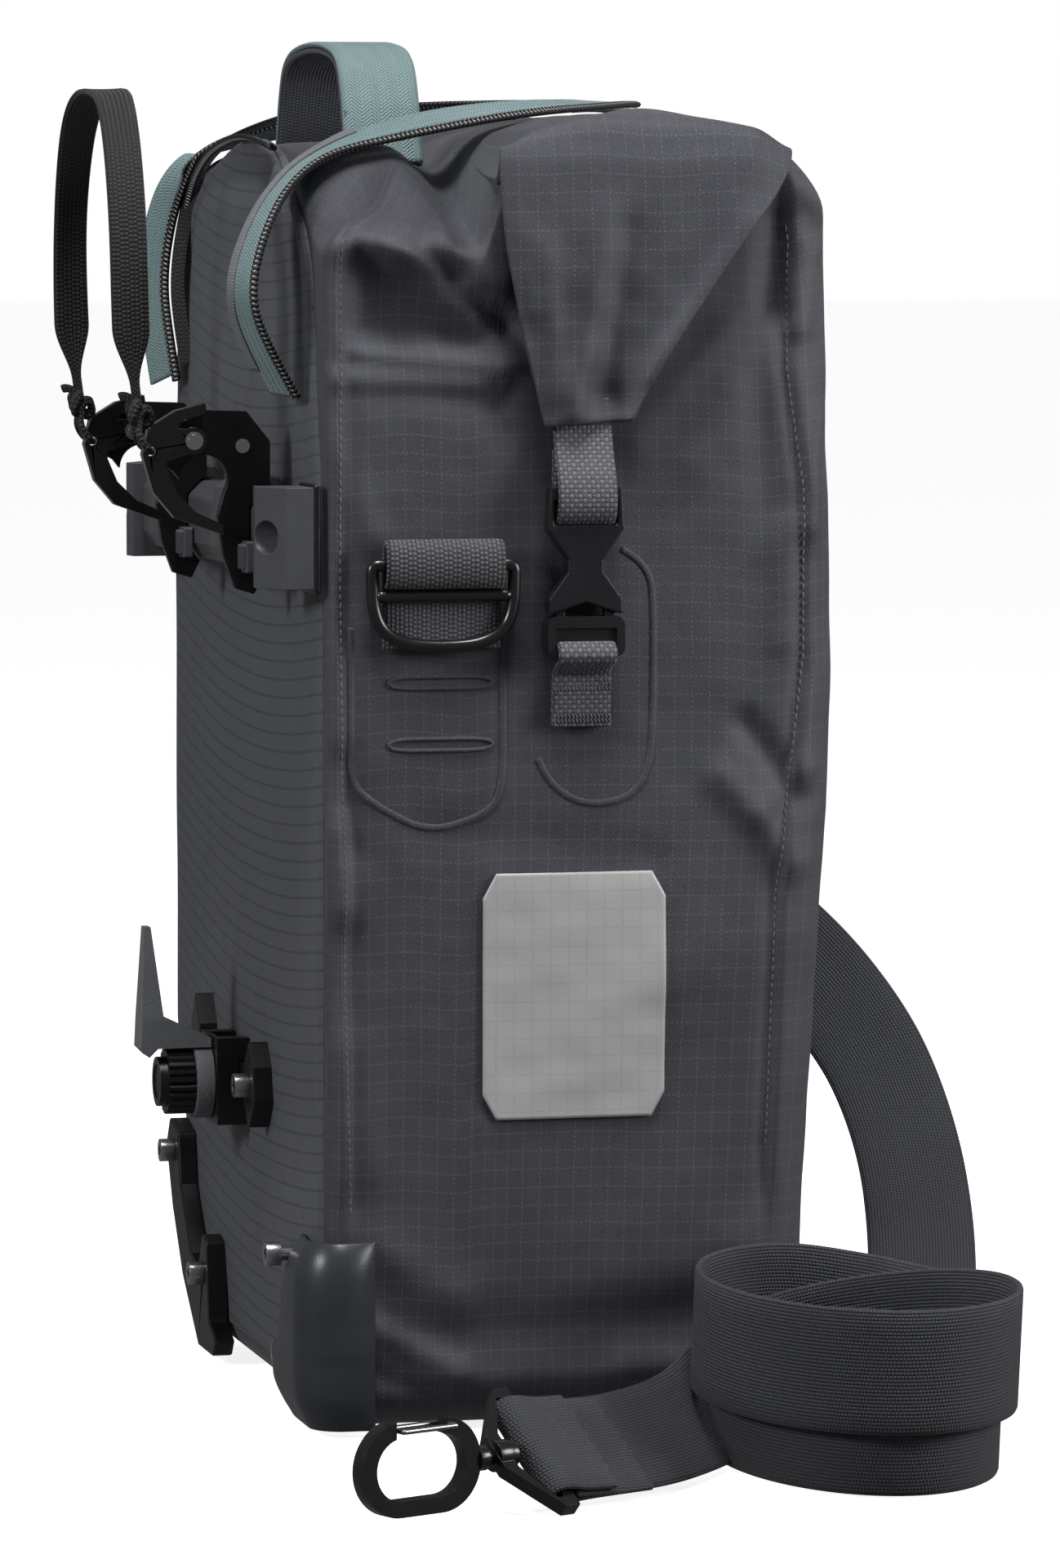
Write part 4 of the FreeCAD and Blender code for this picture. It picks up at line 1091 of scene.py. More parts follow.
@dataclass
class RearZip:
    """The open zip of the rear sleeve: teal tapes, coils and the sewn tab that ends them."""

    tape_width: float = 14 * MM
    coil_offset: float = 9.3 * MM

    def build(self) -> None:
        """Tapes follow the routes; each coil runs beside its tape; a pale backing peeks out on the near side,
        and a black band of painted shadow runs beside the far coil.
        """
        near = np.array([(-106, 93, 344), (-111, 104, 362), (-114, 108.5, 378), (-108, 103, 396), (-98, 93,
                412),
                         (-90, 78, 424), (-86, 50, 433), (-72, 6, 440.2), (-42, -28, 441), (-10, -42,
                                 441)]) * MM
        flat = np.array([(0.9, 0.35, 0.1), (0.95, 0.25, 0.0), (0.97, 0.2, -0.05), (0.9, 0.3, -0.3), (0.8,
                0.35, -0.3),
                         (0.75, 0.4, -0.1), (0.9, 0.1, 0.35), (0.8, 0.55, 0.2), (0.55, 0.8, 0.1), (0.3, 0.9,
                                 0.0)])
        far = np.array([(108, 94, 344), (113, 96, 362), (116, 97, 380), (112, 95, 400), (102, 91, 416), (92,
                84, 426),
                        (88, 50, 434), (74, 6, 440.2), (44, -26, 441), (10, -41, 441)]) * MM
        flat_far = np.array([(0.9, 0.4, 0.0), (0.9, 0.4, 0.0), (0.9, 0.4, 0.0), (0.85, 0.4, -0.1), (0.85,
                0.3, -0.1),
                             (0.9, 0.1, -0.2), (0.9, -0.1, -0.35), (0.8, -0.55, -0.2), (0.55, -0.8, -0.1),
                             (0.3, -0.9, 0.0)])
        sides = {"near": (near, flat), "far": (far, flat_far)}
        tapes, coils, backs = [], [], []
        for name, (route, across) in sides.items():
            path = smooth_line(route, 260)
            side = unit(smooth_line(across, 260))
            path, side = even(path, 260, side)
            wave = 0.5 * MM * np.sin(lengths(path) / 0.021) * np.sin(lengths(path) / 0.051)
            path = path + np.cross(tangents(path), side) * wave[:, None]
            tapes.append(sweep("tape", path, side, flat_profile(self.tape_width, 1.5 * MM)))
            coils.append(sweep("coil", path - side * self.coil_offset, side, flat_profile(4.2 * MM,
                    2.4 * MM, 0.6)))
            if name == "far":
                # painted shadow: a black band in the pull webbing's finish lies beside the far coil where the
                # gap under the zip is in shade
                shade_line = path[6:150] - side[6:150] * 15.4 * MM - np.array([0, 1.5, 0]) * MM
                shadow = sweep("zip_far_painted_shadow", shade_line, side[6:150], flat_profile(9 * MM, 0.9 * MM))
                dress(shadow, PULL, "bag")
            else:
                lean = path[10:120] + side[10:120] * 7.6 * MM + np.cross(tangents(path),
                        side)[10:120] * 0.9 * MM
                backs.append(sweep("back", lean, side[10:120], flat_profile(6 * MM, 0.9 * MM)))
        dress(merged("zip_tape_bands", tapes), TAPE, "bag", "zip_tapes")
        dress(merged("zip_coil_rows", coils), COILS, "bag", "zip_chains")
        dress(merged("zip_backing", backs), BACKING, "bag")
        tab = np.array([(0, -33, 439.6), (0, -40, 440.2), (0, -50, 439.2), (0, -55, 437.0), (0, -57.5,
                432.5)]) * MM
        end = sweep("zip_end", smooth_line(tab, 40), np.array([1.0, 0, 0]), flat_profile(18 * MM, 2.2 * MM))
        dress(end, TAPE, "bag", "zip_end_tab")
        arch = np.array([(112, 84.5, 352), (110, 85.5, 384), (98, 86, 408), (66, 85.8, 423.5), (20, 85.6,
                429.5),
                         (-20, 85.6, 429.8), (-52, 85.6, 426)]) * MM
        line, = even(smooth_line(arch, 200), 200)
        border = sweep("panel_border_coil", line, np.array([0.0, 0.9, 0.35]), flat_profile(4.4 * MM,
                2.2 * MM, 0.6))
        # the border coil carries the same painted highlights as pale dots
        dress(border, COILS, "bag")


@dataclass
class CarryHandle:
    """A webbing handle: teal outside, grey inside."""

    width: float = 27 * MM
    middle_y: float = 48.5 * MM

    def build(self) -> None:
        """Two bands along one arch, the grey one just inside the teal one."""
        arch = np.array([(-60, 421), (-55, 432), (-50, 444), (-40, 457), (-14, 461.6), (14, 461.6), (40, 457),
                         (50, 444), (55, 432), (60, 421)]) * MM
        line = smooth_line(arch, 120)
        path = np.stack([line[:, 0], np.full(120, self.middle_y), line[:, 1]], 1)
        path, = even(path, 120)
        path[:, 1] += 1.2 * MM * np.sin(path[:, 0] / 0.02)
        out = np.cross(tangents(path), np.array([0, 1.0, 0]))
        for name, shift, finish in (("handle_outer", 0.0, BAND), ("handle_lining", -2.1 * MM, LINING)):
            made = sweep(name, path + out * shift, np.array([0, 1.0, 0]), flat_profile(self.width, 2.0 * MM))
            if shift == 0.0:
                dress(made, finish, "bag", "carry_handle")
            else:
                dress(made, finish, "bag")
        feet = []
        for side in (-1, 1):
            z = np.linspace(438, 424, 14) * MM
            feet.append(np.stack([np.full(14, side * 54.0 * MM), np.full(14, 60.5 * MM), z], 1))
        dress(beads("handle_stitches", np.concatenate(feet), np.array([0, 0, 1.0]), 0.7 * MM, 0.25 * MM),
              THREADS, "bag")


# ---- fittings on the sides ------------------------------------------------------------

def closed_line(controls: Array, count: int) -> Array:
    """Samples a closed quadratic B-spline, by the same blend as smooth_line."""
    ctrl = np.asarray(controls, float)
    starts = (ctrl + np.roll(ctrl, -1, 0)) / 2
    at = np.linspace(0, len(ctrl), count, endpoint=False)
    span = at.astype(int)
    t = (at - span)[:, None]
    nexts = (span + 1) % len(ctrl)
    return starts[span] * (1 - t) ** 2 + ctrl[nexts] * 2 * t * (1 - t) + starts[nexts] * t ** 2


@dataclass
class SideFittings:
    """Webbing, ring, reflector and welded outlines on one side of the bag."""

    body: PannierBody
    side: int
    buckle_y: float = -0.7 * MM
    ring_y: float = 46.2 * MM
    ring_x: float = 141.8 * MM
    ring_z: float = 288.5 * MM
    far_tilt: float = 30.0

    @property
    def name(self) -> str:
        """The side's word in piece names."""
        return "near" if self.side < 0 else "far"

    def band(self, name: str, outline: Sequence[tuple[float, float]], y: float, width: float, thick: float,
             count: int = 90) -> bpy.types.Object:
        """A webbing band bent in the X-Z plane.

        Args:
            name: The piece's name.
            outline: Control points (distance out, height) in millimetres.
            y: Its middle.
            width: Its width.
            thick: Its thickness.
            count: Samples along it.

        Returns:
            The band.
        """
        line, = even(smooth_line(np.array(outline) * MM, count), count)
        path = np.stack([self.side * line[:, 0], np.full(count, y), line[:, 1]], 1)
        return sweep(name, path, np.array([0, 1.0, 0]), flat_profile(width, thick))

    def webbing(self) -> None:
        """Upper and lower webbing of the buckle, looped round its bars, with bar tacks."""
        out = 139.6
        upper = self.band("upper_web_" + self.name, ((out + 0.2, 343), (out + 1.2, 335), (out + 4.4, 325),
                                                     (out + 9.4, 316),
                          (out + 10.6, 309), (out + 9.2, 303.4), (out + 4, 301.4), (out + 0.8, 304.5),
                          (out + 0.2, 314), (out + 1.0, 326)), self.buckle_y, 20 * MM, 1.7 * MM)
        dress(upper, WEB, "buckle_" + self.name, "upper_webbing_" + self.name)
        lower = self.band("lower_web_" + self.name, ((out - 0.6, 235), (out - 0.4, 246), (out + 0.4, 252),
                                                     (out + 5, 255.4),
                          (out + 9.6, 256.2), (out + 10.8, 259), (out + 8.6, 262.4), (out + 3.0,
                                  262.6), (out - 0.2, 262.8)),
                          self.buckle_y, 20 * MM, 1.7 * MM)
        tail = self.band("tail", ((out + 1.0, 234.5), (out + 1.1, 240), (out + 1.3, 247), (out + 1.8, 251.5)),
                         self.buckle_y, 20 * MM, 1.5 * MM, 24)
        joined = merged("lower_web_" + self.name, [lower, tail])
        dress(joined, WEB, "bag", *near_owns(self.side, "lower_webbing"))
        rows = []
        y = np.arange(-9.4, 9.5, 1.25) * MM + self.buckle_y
        for z in (248.6, 247.2, 238.0, 236.6):
            rows.append(np.stack([np.full(len(y), self.side * (out + 2.15) * MM), y, np.full(len(y),
                    z * MM)], 1))
        lean = np.array([0, 0.5, 1.0])
        dress(beads("bar_tacks_" + self.name, np.concatenate(rows), lean, 0.9 * MM, 0.3 * MM), THREADS, "bag")

    def ring_tab(self) -> None:
        """The webbing tube that holds the D-ring, sewn down behind it."""
        tab = self.band("ring_tab_" + self.name, ((138.6, 261), (138.8, 272), (138.7, 284), (139.0, 292.5),
                                                  (141.4, 296.6),
                        (145.3, 295.4), (146.6, 289.5), (145.6, 283.6), (143.4, 281.4), (140.6, 281.6)),
                        self.ring_y, 40 * MM, 1.9 * MM, 120)
        dress(tab, WEB_WIDE, "bag", *near_owns(self.side, "dring_tabs"))
        y = np.arange(-18.5, 18.6, 1.6) * MM + self.ring_y
        centres = np.stack([np.full(len(y), self.side * 139.9 * MM), y, np.full(len(y), 263.2 * MM)], 1)
        dress(beads("tab_stitches_" + self.name, centres, np.array([0, 1.0, 0]), 0.62 * MM, 0.26 * MM),
              THREADS, "bag")

    def ring(self) -> None:
        """A cast D-ring with a hinge bar and a second bar."""
        ctrl = np.array([(-19, 288.5), (0, 288.5), (19, 288.5), (24, 288.7), (23.9, 283), (23.6, 274),
                         (20.6, 266.8),
                         (13, 262.8), (5, 261.8), (-5, 261.8), (-13, 262.8), (-20.6, 266.8), (-23.6, 274),
                         (-23.9, 283), (-24, 288.7)]) * MM
        line = closed_line(ctrl, 200)
        path = np.stack([np.full(200, -self.ring_x), line[:, 0] + self.ring_y, line[:, 1]], 1)
        loop = sweep("loop", path, np.array([1.0, 0, 0]), round_profile(2.15 * MM, 16), closed=True)
        bars = [loop]
        y = np.linspace(-22.4, 22.4, 30) * MM + self.ring_y
        bar = np.stack([np.full(30, -self.ring_x), y, np.full(30, 278.4 * MM)], 1)
        bars.append(sweep("bar", bar, np.array([1.0, 0, 0]), round_profile(2.1 * MM, 16, 0.95)))
        made = merged("ring_cast_" + self.name, bars)
        if self.side > 0:
            co = np.zeros(len(made.data.vertices) * 3, np.float32)
            made.data.vertices.foreach_get("co", co)
            co = co.reshape(-1, 3)
            co[:, 0] *= -1
            tilt = math.radians(-self.far_tilt)
            dx, dz = co[:, 0] - self.ring_x, co[:, 2] - self.ring_z
            co[:, 0] = self.ring_x + dx * math.cos(tilt) + dz * math.sin(tilt)
            co[:, 2] = self.ring_z - dx * math.sin(tilt) + dz * math.cos(tilt)
            made.data.vertices.foreach_set("co", co.ravel())
        turn_outwards(made)
        dress(made, PAINTED, "d_ring_" + self.name, "d_ring_" + self.name)

    def reflector(self) -> None:
        """A plain reflective rectangle with cut corners, laid on the cloth."""
        u, v = np.meshgrid(np.linspace(-1, 1, 60), np.linspace(-1, 1, 80), indexing="ij")
        z = 145 * MM + v * 41 * MM
        cut = 4.5 * MM * np.clip((np.abs(v) - 0.8) / 0.2, 0, 1)
        y = 1 * MM + u * (31 * MM - cut)
        x = self.body.side_x(y, z, self.side) + self.side * 0.55 * MM
        made = grid_piece("reflector_" + self.name, np.stack([x, y, z], -1), np.stack([y, z], -1))
        if self.side > 0:
            made.data.flip_normals()
        thicken(made, 0.7 * MM, 0, offset=-1.0)
        dress(made, REFLECT, "bag", *near_owns(self.side, "reflectors"))

    def outlines(self) -> None:
        """Raised edges of the patches welded inside the cloth, and two raised slots."""
        patches = [np.array([(76, 268), (76, 240), (76, 216), (66, 208), (50, 200), (32, 205), (25, 212),
                             (25, 240), (25, 268)]),
                   np.array([(13, 224), (10, 216), (-2, 208), (-18, 210), (-25, 220), (-26, 240), (-26,
                           270), (-25, 288),
                             (-15, 293)])]
        pieces = []
        for corners in patches:
            line, = even(smooth_line(corners * MM, 200), 200)
            pieces.append(self.on_cloth(line, flat_profile(2.4 * MM, 0.8 * MM, 0.6), 0.05 * MM, False))
        for z in (249.5, 229.0):
            slot = np.array([(31, z + 1.9), (46, z + 1.9), (61, z + 1.9), (64.4, z), (61, z - 1.9), (46,
                    z - 1.9),
                             (31, z - 1.9), (27.8, z)]) * MM
            pieces.append(self.on_cloth(closed_line(slot, 120), round_profile(0.75 * MM, 10), 0.15 * MM,
                                        True))
        dress(merged("weld_outlines_" + self.name, pieces), CLOTH, "bag")

    def on_cloth(self, line: Array, profile: Array, lift: float, closed: bool) -> bpy.types.Object:
        """A thin profile that follows a line of (Y, Z) points on the side's cloth."""
        x = self.body.side_x(line[:, 0], line[:, 1], self.side) + self.side * lift
        path = np.stack([x, line[:, 0], line[:, 1]], 1)
        ahead = tangents(path, closed)
        across = np.cross(ahead, np.array([1.0, 0, 0]))
        return sweep("weld", path, across, profile, closed)

    def build(self) -> None:
        """Makes every fitting of the side."""
        self.webbing()
        self.ring_tab()
        self.ring()
        self.reflector()
        self.outlines()


# ---- straps ------------------------------------------------------------------------------

RISE = [                       # centre of the webbing from the far hook to the coil, millimetres
    (156.9, 2.5, 233.5), (155.1, -40.0, 203.0), (153.5, -84.0, 177.0), (152.5, -126.0, 151.0),
    (150.0, -158.0, 124.0), (143.0, -177.5, 98.0), (134.0, -186.0, 78.0), (122.0, -191.0, 54.0),
    (108.0, -191.0, 30.0), (88.0, -186.0, 10.0), (60.0, -176.0, 2.4), (28.0, -170.0, 2.2),
    (-12.0, -164.0, 2.6), (-50.0, -156.0, 11.0), (-84.0, -146.0, 19.0), (-108.0, -136.0, 24.0),
    (-128.0, -117.0, 30.0), (-141.0, -97.0, 36.0),
]
RISE_EDGES = [                 # direction of the webbing's width at each of those points
    (0.0, 0.6, -0.8), (0.0, 0.6, -0.8), (0.0, 0.62, -0.78), (0.0, 0.75, -0.66),
    (0.0, 0.85, -0.52), (0.0, 0.9, -0.43), (-0.05, 0.93, -0.37), (-0.09, 0.93, -0.36),
    (-0.05, 0.95, -0.3), (0.0, 1.0, -0.1), (0.0, 1.0, 0.0), (0.0, 1.0, 0.0),
    (0.05, 1.0, 0.0), (0.1, 0.9, -0.4), (0.1, 0.6, -0.75), (0.0, 0.3, -0.95),
    (0.0, 0.0, -1.0), (0.0, 0.0, -1.0),
]
TAIL = [(-206.0, -24.0, 13.6), (-234.0, -6.0, 14.4), (-257.0, 12.0, 15.6), (-269.0, 29.0, 16.6), (-277.8,
        44.3, 17.6)]
TAIL_EDGES = [(-0.35, -0.72, -0.58), (-0.5, -0.6, -0.6), (-0.6, -0.48, -0.62), (-0.66, -0.36, -0.64),
              (-0.69, -0.32, -0.64)]


def nurbs_line(controls: Sequence[tuple[float, float, float]], steps: int) -> Array:
    """Reads the points of a clamped NURBS of order 3 in metres.

    Args:
        controls: Control points in millimetres.
        steps: Points for each span.

    Returns:
        Points along it.
    """
    curve = bpy.data.curves.new("route", "CURVE")
    curve.dimensions = "3D"
    spline = curve.splines.new("NURBS")
    spline.points.add(len(controls) - 1)
    ctrl = np.concatenate([np.array(controls) * MM, np.ones((len(controls), 1))], 1)
    spline.points.foreach_set("co", ctrl.astype(np.float32).ravel())
    spline.order_u = 3
    spline.use_endpoint_u = True
    spline.resolution_u = steps
    holder = bpy.data.objects.new("route", curve)
    mesh = bpy.data.meshes.new_from_object(holder)
    co = np.zeros(len(mesh.vertices) * 3, np.float32)
    mesh.vertices.foreach_get("co", co)
    bpy.data.objects.remove(holder)
    bpy.data.curves.remove(curve)
    bpy.data.meshes.remove(mesh)
    return co.reshape(-1, 3).astype(float)


@dataclass
class ShoulderStrap:
    """The shoulder strap: from the far hook round the front, two turns of a coil, and the near hook."""

    width: float = 40 * MM
    thick: float = 2.1 * MM
    centre: tuple[float, float] = (-219.0, -73.0)
    wide: float = 79.5
    deep: float = 50.5
    turn_points: int = 15

    def coil(self) -> tuple[list, list]:
        """Control points and edge directions of the coil's turns.

        A point is centre + (wide cos a, deep sin a). The first turn stands on the second, which
        lies inside it, leans and leaves under it.

        Returns:
            Points and the directions of the webbing's lower edge.
        """
        points, edges = [], []
        start, end = 0.0, 782.0
        count = int((end - start) / 360 * self.turn_points)
        for i in range(count + 1):
            angle = start + (end - start) * i / count
            turn = math.radians(angle)
            drop = min(1.0, max(0.0, (angle - 250) / 160))
            drop = drop * drop * (3 - 2 * drop)
            lean = max(0.0, (angle - 700) / 82)
            shrink = 5.5 * drop + 1.5 * max(0.0, angle - 400) / 380 + 2.0 * lean
            wavy = 1.5 * math.sin(2 * turn + 0.6) + 1.0 * math.sin(3 * turn)
            points.append((self.centre[0] + (self.wide - shrink + wavy) * math.cos(turn),
                           self.centre[1] + (self.deep - shrink + wavy * 0.5) * math.sin(turn),
                           40.6 - 20.2 * drop - 6.4 * lean))
            inward = (-math.cos(turn) * 0.72 * lean, -math.sin(turn) * 0.72 * lean, -1.0 + 0.4 * lean)
            tilt = 0.05 * math.sin(turn + 0.8) * (1 - lean)
            edges.append((inward[0] + tilt * math.cos(turn), inward[1] + tilt * math.sin(turn), inward[2]))
        return points, edges

    def build(self) -> None:
        turns, turn_edges = self.coil()
        route = RISE + turns + TAIL
        edge = RISE_EDGES + turn_edges + TAIL_EDGES
        path = nurbs_line(route, 14)
        side = unit(nurbs_line(edge, 14))
        count = 900
        path, side = even(path, count, side)
        strap = sweep("shoulder_strap_web", path, side, flat_profile(self.width, self.thick, 0.3))
        dress(strap, STRAP, "bag", "strap_rise", "strap_coil", "strap_tail")
        near = self.fold("near", np.array([-0.42, 0.907, 0.0]), np.array([-299.0, 90.0, 17.6]),
                         np.array([-0.69, -0.32, -0.65]))
        sine, cosine = math.sin(math.radians(30)), math.cos(math.radians(30))
        ring = np.array([143.4 + 27.0 * sine, 42.8, 288.5 - 27.0 * cosine - 2.0])
        far = self.fold("far", np.array([0.0, 0.8, 0.6]), ring, np.array([0.0, 0.6, -0.8]))

    def fold(self, name: str, along: Array, ring: Array, bar: Array) -> bpy.types.Object:
        """A strap end folded round its bow and sewn back on itself.

        Args:
            name: Which end.
            along: Direction from the strap to the hook.
            ring: Middle of the hook's ring in millimetres.
            bar: Direction of the bow's bar.

        Returns:
            The folded end.
        """
        along, bar = unit(along), unit(bar)
        bar = unit(bar - along * (bar @ along))
        rise = np.cross(along, bar)
        start = ring - along * 33.0
        outline = np.array([(-50, -2.2), (-34, -2.3), (-22, -2.6), (-15, -4.2), (-10, -4.0), (-7.6, -1.6),
                            (-7.6, 1.6),
                            (-10, 4.0), (-15, 4.2), (-21, 2.4), (-27, 1.6), (-34, 1.4)])
        line, = even(smooth_line(outline, 110), 110)
        path = (start + along * line[:, :1] + rise * line[:, 1:]) * MM
        made = sweep("strap_fold_" + name, path, bar, flat_profile(self.width - 1 * MM, 1.9 * MM, 0.3))
        if name == "near":
            dress(made, STRAP, "bag", "strap_loops")
        else:
            dress(made, STRAP, "bag")
        rows = [(start + along * a + bar * b + rise * 2.5) * MM for a in (-24,
                -26.5) for b in np.arange(-17, 17.1, 1.7)]
        dress(beads("fold_stitches_" + name, np.array(rows), bar, 0.6 * MM, 0.3 * MM), DARK_STITCH, "bag")
        return made


@dataclass
class PullStrap:
    """The webbing loop that opens both hook levers, with its knotted ends."""

    legs: tuple[float, float] = (-94.3, 18.7)
    y: float = 142.5

    def build(self) -> None:
        """One band from knot to knot, narrow at both ends, and a knot on each lever."""
        a, b = self.legs
        ctrl = np.array([(a, 139.5, 341), (a - 0.6, 141, 352), (a - 2, 142, 368), (a - 1, 142.5, 400),
                         (a + 8, 142.5, 424),
                         (a + 22, 142, 439), (a + 40, 141, 444.5), (b - 38, 141, 444.5), (b - 20, 142,
                                 437), (b - 8, 142.5, 420),
                         (b + 0.5, 142.5, 396), (b + 1, 142, 366), (b + 0.4, 141, 352), (b, 139.5, 341)]) * MM
        path = smooth_line(ctrl, 320)
        path, = even(path, 320)
        at = np.linspace(0, 1, 320)
        ends = np.minimum(at, 1 - at)
        scale = 0.26 + 0.74 * ramp(ends, 0.02, 0.09)
        twist = 0.5 * np.sin(at * TAU)
        side = np.stack([twist * 0.5, np.ones(320), 0.25 * np.sin(at * TAU * 2)], 1)
        made = sweep("pull_loop_web", path, side, flat_profile(12.5 * MM, 1.9 * MM), scale=scale)
        dress(made, PULL, "pull_strap", "pull_strap")
        for leg, name in zip(self.legs, ("near", "far")):
            turn = np.linspace(0, TAU, 90, endpoint=False)
            knot = np.stack([leg + 3.0 * np.sin(turn) + 1.3 * np.sin(2 * turn),
                             139.3 + 1.9 * np.cos(turn) - 2.2 * np.cos(2 * turn),
                             337.6 - 3.6 * np.sin(3 * turn) * 0.7 + 1.2 * np.cos(turn)], 1) * MM
            tied = sweep("knot", knot, np.array([0.3, 0.2, 1.0]), round_profile(1.75 * MM, 10, 0.75),
                         closed=True)
            cords = [tied]
            for s in (-1, 1):
                run = np.array([(leg + s * 1.2, 139, 336), (leg + s * 3.4, 140.0, 332), (leg + s * 4.3,
                        138.5, 328),
                                (leg + s * 4.0, 135.8, 325.2), (leg + s * 0.6, 135.0, 325.0)]) * MM
                cords.append(sweep("cord", smooth_line(run, 40), np.array([0, 0.4, 1.0]),
                                   round_profile(1.25 * MM, 10)))
            tip = np.array([(leg + 1, 139.5, 341), (leg + 2.6, 142.5, 344), (leg + 4.2, 144.6, 343)]) * MM
            cords.append(sweep("tip", smooth_line(tip, 20), np.array([0, 0.4, 1.0]), round_profile(1.5 * MM,
                    8, 0.6)))
            dress(merged("pull_knot_tied_" + name, cords), PULL, "lever_" + name, "pull_knot_" + name)


# ---- hard parts ----------------------------------------------------------------------------

@dataclass
class HardParts:
    """The moulded and metal parts, which keep their own shape and get rounded edges."""

    def dress_node(self, node: str, finish: bpy.types.Material, edge: float) -> None:
        """Gives one part its finish and rounds its edges.

        Args:
            node: The part's name.
            finish: Its material.
            edge: Width of the rounding, or 0.
        """
        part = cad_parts[node]
        part.data.materials.clear()
        part.data.materials.append(finish)
        if edge > 0:
            close = part.modifiers.new("weld", "WELD")
            close.merge_threshold = 0.00001
            round_off = part.modifiers.new("edges", "BEVEL")
            round_off.width = edge
            round_off.segments = 3
            round_off.limit_method = "ANGLE"
            round_off.angle_limit = math.radians(35)
            round_off.use_clamp_overlap = True
            round_off.harden_normals = False
        LOG.info("dressed %s", node)

    def build(self) -> None:
        """Dresses every hard part."""
        plan = (
            (("mounting_rail",), RAIL, 1.2), (("rail_plates",), BLACK, 0.8), (("rail_caps",), RAIL, 2.6),
            (("rail_screws",), SILVER, 0.3), (("hook_plate_near", "hook_plate_far"), HOOK, 0.5),
            (("hook_grip_near", "hook_grip_far"), RAIL, 0.6), (("hook_rivets_near", "hook_rivets_far"),
                                                               SILVER, 0.25),
            (("lever_near", "lever_far"), GLOSS, 0.8), (("lower_bridge",), BLACK, 0.8),
            (("bridge_bolts", "guard_bolts"), SILVER, 0.4), (("hook_carriage",), BLACK,
                                                             0.9), (("hook_arm",), BLADE, 0.8),
            (("lock_knob",), BLACK, 0.5), (("heel_guard_far",), BLACK, 1.2),
            (("buckle_male_near", "buckle_male_far", "buckle_female_near", "buckle_female_far"), BUCKLE, 0.9),
            (("snap_ring_near", "snap_ring_far"), PAINTED, 2.2), (("snap_bow_near", "snap_bow_far"),
                                                                  PAINTED, 0.9),
            (("snap_gate_near", "snap_gate_far"), WIRE, 0.0),
            (("back_board", "base_board", "sleeve_divider", "closure_stiffener", "inner_patches",
              "inner_nuts"), INNER, 0.0),
        )
        for nodes, finish, edge in plan:
            for node in nodes:
                self.dress_node(node, finish, edge * MM)


@dataclass
class CornerBumper:
    """The moulded guard round the bag's lower corner on the rack side, thick in its middle."""

    top: float = 65 * MM
    thick: float = 6.5 * MM

    def build(self) -> None:
        """Wraps a swollen sheet round the corner.

        A row runs along the side, round a quarter circle and along the back to the guard's inner
        edge, which changes with the height. The sheet stands out by one less the fourth power of
        the distance from its middle, in both directions.
        """
        count, rows = 90, 80
        z = np.linspace(1.5 * MM, self.top, rows)
        inner = np.interp(z / MM, [0, 6, 14, 24, 28, 38, 52, 65], [-100, -86, -78, -77, -90, -94, -101,
                                                                   -112]) * MM
        side_run, radius = 10 * MM, 10 * MM
        corner_x, corner_y = -128.2 * MM, 78.4 * MM
        back_run = inner - corner_x
        total = side_run + radius * math.pi / 2 + back_run
        s = np.linspace(0, 1, count)[:, None] * total[None]
        turn = np.clip((s - side_run) / radius, 0, math.pi / 2)
        before = np.clip(side_run - s, 0, None)
        after = np.clip(s - side_run - radius * math.pi / 2, 0, None)
        x = corner_x - radius * np.cos(turn) + after
        y = corner_y + radius * np.sin(turn) - before
        p = np.abs(2 * s / total - 1)
        q = np.abs(2 * (z - z[0]) / (z[-1] - z[0]) - 1)[None]
        stand = self.thick * (1 - p ** 5) * (1 - 0.85 * q ** 5)
        foot = 1 - 0.35 * ramp(-z, -14 * MM, 0)[None]
        x = x - np.cos(turn) * stand * foot
        y = y + np.sin(turn) * stand * foot
        height = np.broadcast_to(z[None], x.shape)
        made = grid_piece("corner_bumper", np.stack([x, y, height], -1), np.stack([s, height], -1))
        made.data.flip_normals()
        thicken(made, 2.4 * MM, 1, offset=-1.0)
        dress(made, GUARD, "bag", "corner_guard_near")


# ---- studio -------------------------------------------------------------------------------

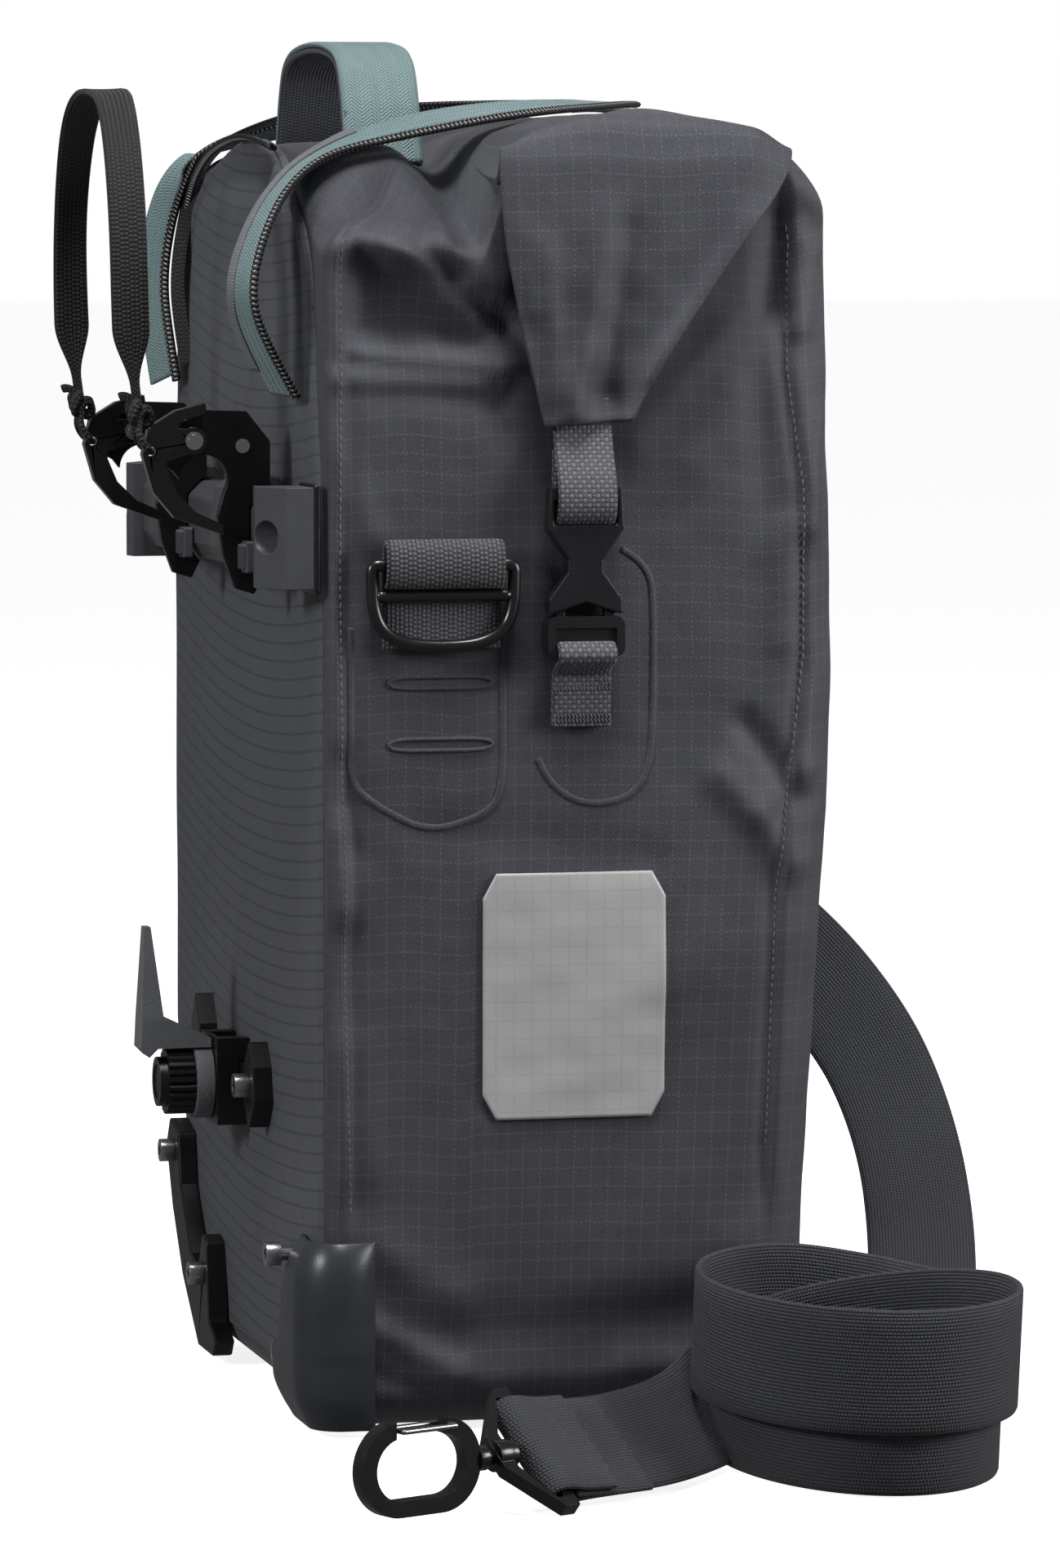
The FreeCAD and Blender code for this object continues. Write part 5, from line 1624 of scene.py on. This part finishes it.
@dataclass
class Studio:
    """White floor, a lamp at the front, one at the rack side, one above, and the camera."""

    stand: tuple[float, float, float] = (-2.4952, 0.5725, 0.4041)
    heading: float = -13.28
    down: float = 4.45
    lens: float = 168.75
    sky: float = 0.13

    def camera(self) -> None:
        """A long lens at the height of the bag's top, looking a little down."""
        data = bpy.data.cameras.new("camera")
        data.lens = self.lens
        data.sensor_width = 36.0
        data.clip_start, data.clip_end = 0.1, 50.0
        made = bpy.data.objects.new("camera", data)
        yaw, pitch = math.radians(self.heading), math.radians(self.down)
        look = Vector((math.cos(yaw) * math.cos(pitch), math.sin(yaw) * math.cos(pitch), -math.sin(pitch)))
        made.location = self.stand
        made.rotation_euler = look.to_track_quat("-Z", "Y").to_euler()
        bpy.context.scene.collection.objects.link(made)
        bpy.context.scene.camera = made

    def lamp(self, name: str, at: tuple[float, float, float], size: float, power: float) -> None:
        """A square soft light that faces the bag.

        Args:
            name: Its name.
            at: Where it stands.
            size: Its width.
            power: Its power in watts.
        """
        data = bpy.data.lights.new(name, "AREA")
        data.size = size
        data.energy = power
        made = bpy.data.objects.new(name, data)
        made.location = at
        made.rotation_euler = (Vector(LAMP_AIM) - Vector(at)).to_track_quat("-Z", "Y").to_euler()
        bpy.context.scene.collection.objects.link(made)

    def build(self) -> None:
        """Sets the studio up."""
        self.camera()
        world = bpy.data.worlds.new("studio")
        world.use_nodes = True
        tree = world.node_tree
        seen = tree.nodes.new("ShaderNodeLightPath")
        level = tree.nodes.new("ShaderNodeMapRange")
        level.inputs["To Min"].default_value = self.sky
        level.inputs["To Max"].default_value = 1.0
        tree.links.new(seen.outputs["Is Camera Ray"], level.inputs["Value"])
        tree.links.new(level.outputs[0], tree.nodes["Background"].inputs[1])
        tree.nodes["Background"].inputs[0].default_value = (1.0, 1.0, 1.0, 1.0)
        bpy.context.scene.world = world
        bpy.context.scene.view_settings.view_transform = "Standard"
        self.lamp("front strip", (-0.75, -1.15, 0.62), 0.55, 11.5)
        self.lamp("rack strip", (-0.75, 1.9, 1.1), 0.5, 19.0)
        self.lamp("top", (-0.6, 0.05, 2.0), 0.6, 27.0)
        floor = mesh_piece("floor", np.array([(a * FLOOR_HALF, b * FLOOR_HALF, FLOOR_Z) for a, b in ((-1,
                -1), (1, -1), (1, 1), (-1, 1))]),
                           np.array([[0, 1, 2, 3]]), np.zeros((4, 2)))
        s = Shader("studio floor")
        haze = s.noise(3.0, 2.0)
        pale = s.blend(haze, (0.9, 0.9, 0.9, 1), (0.93, 0.93, 0.93, 1))
        floor.data.materials.append(s.finish(pale, 0.7, Emission_Color=(1.0, 1.0, 1.0, 1.0),
                                             Emission_Strength=0.84,
                                             Specular_IOR_Level=0.2))
        floor.visible_diffuse = False
        floor.visible_glossy = False


def main() -> None:
    """Builds the studio, the strap, the bag and its fittings in order."""
    logging.basicConfig(level=logging.INFO, format="%(name)s: %(message)s")
    Studio().build()
    ShoulderStrap().build()
    body = PannierBody()
    body.build()
    body.stitches()
    roll = RollClosure(body)
    roll.build()
    BackPanel().build()
    RearZip().build()
    CarryHandle().build()
    for side in (-1, 1):
        SideFittings(body, side).build()
    PullStrap().build()
    CornerBumper().build()
    HardParts().build()


if __name__ == "__main__":
    main()
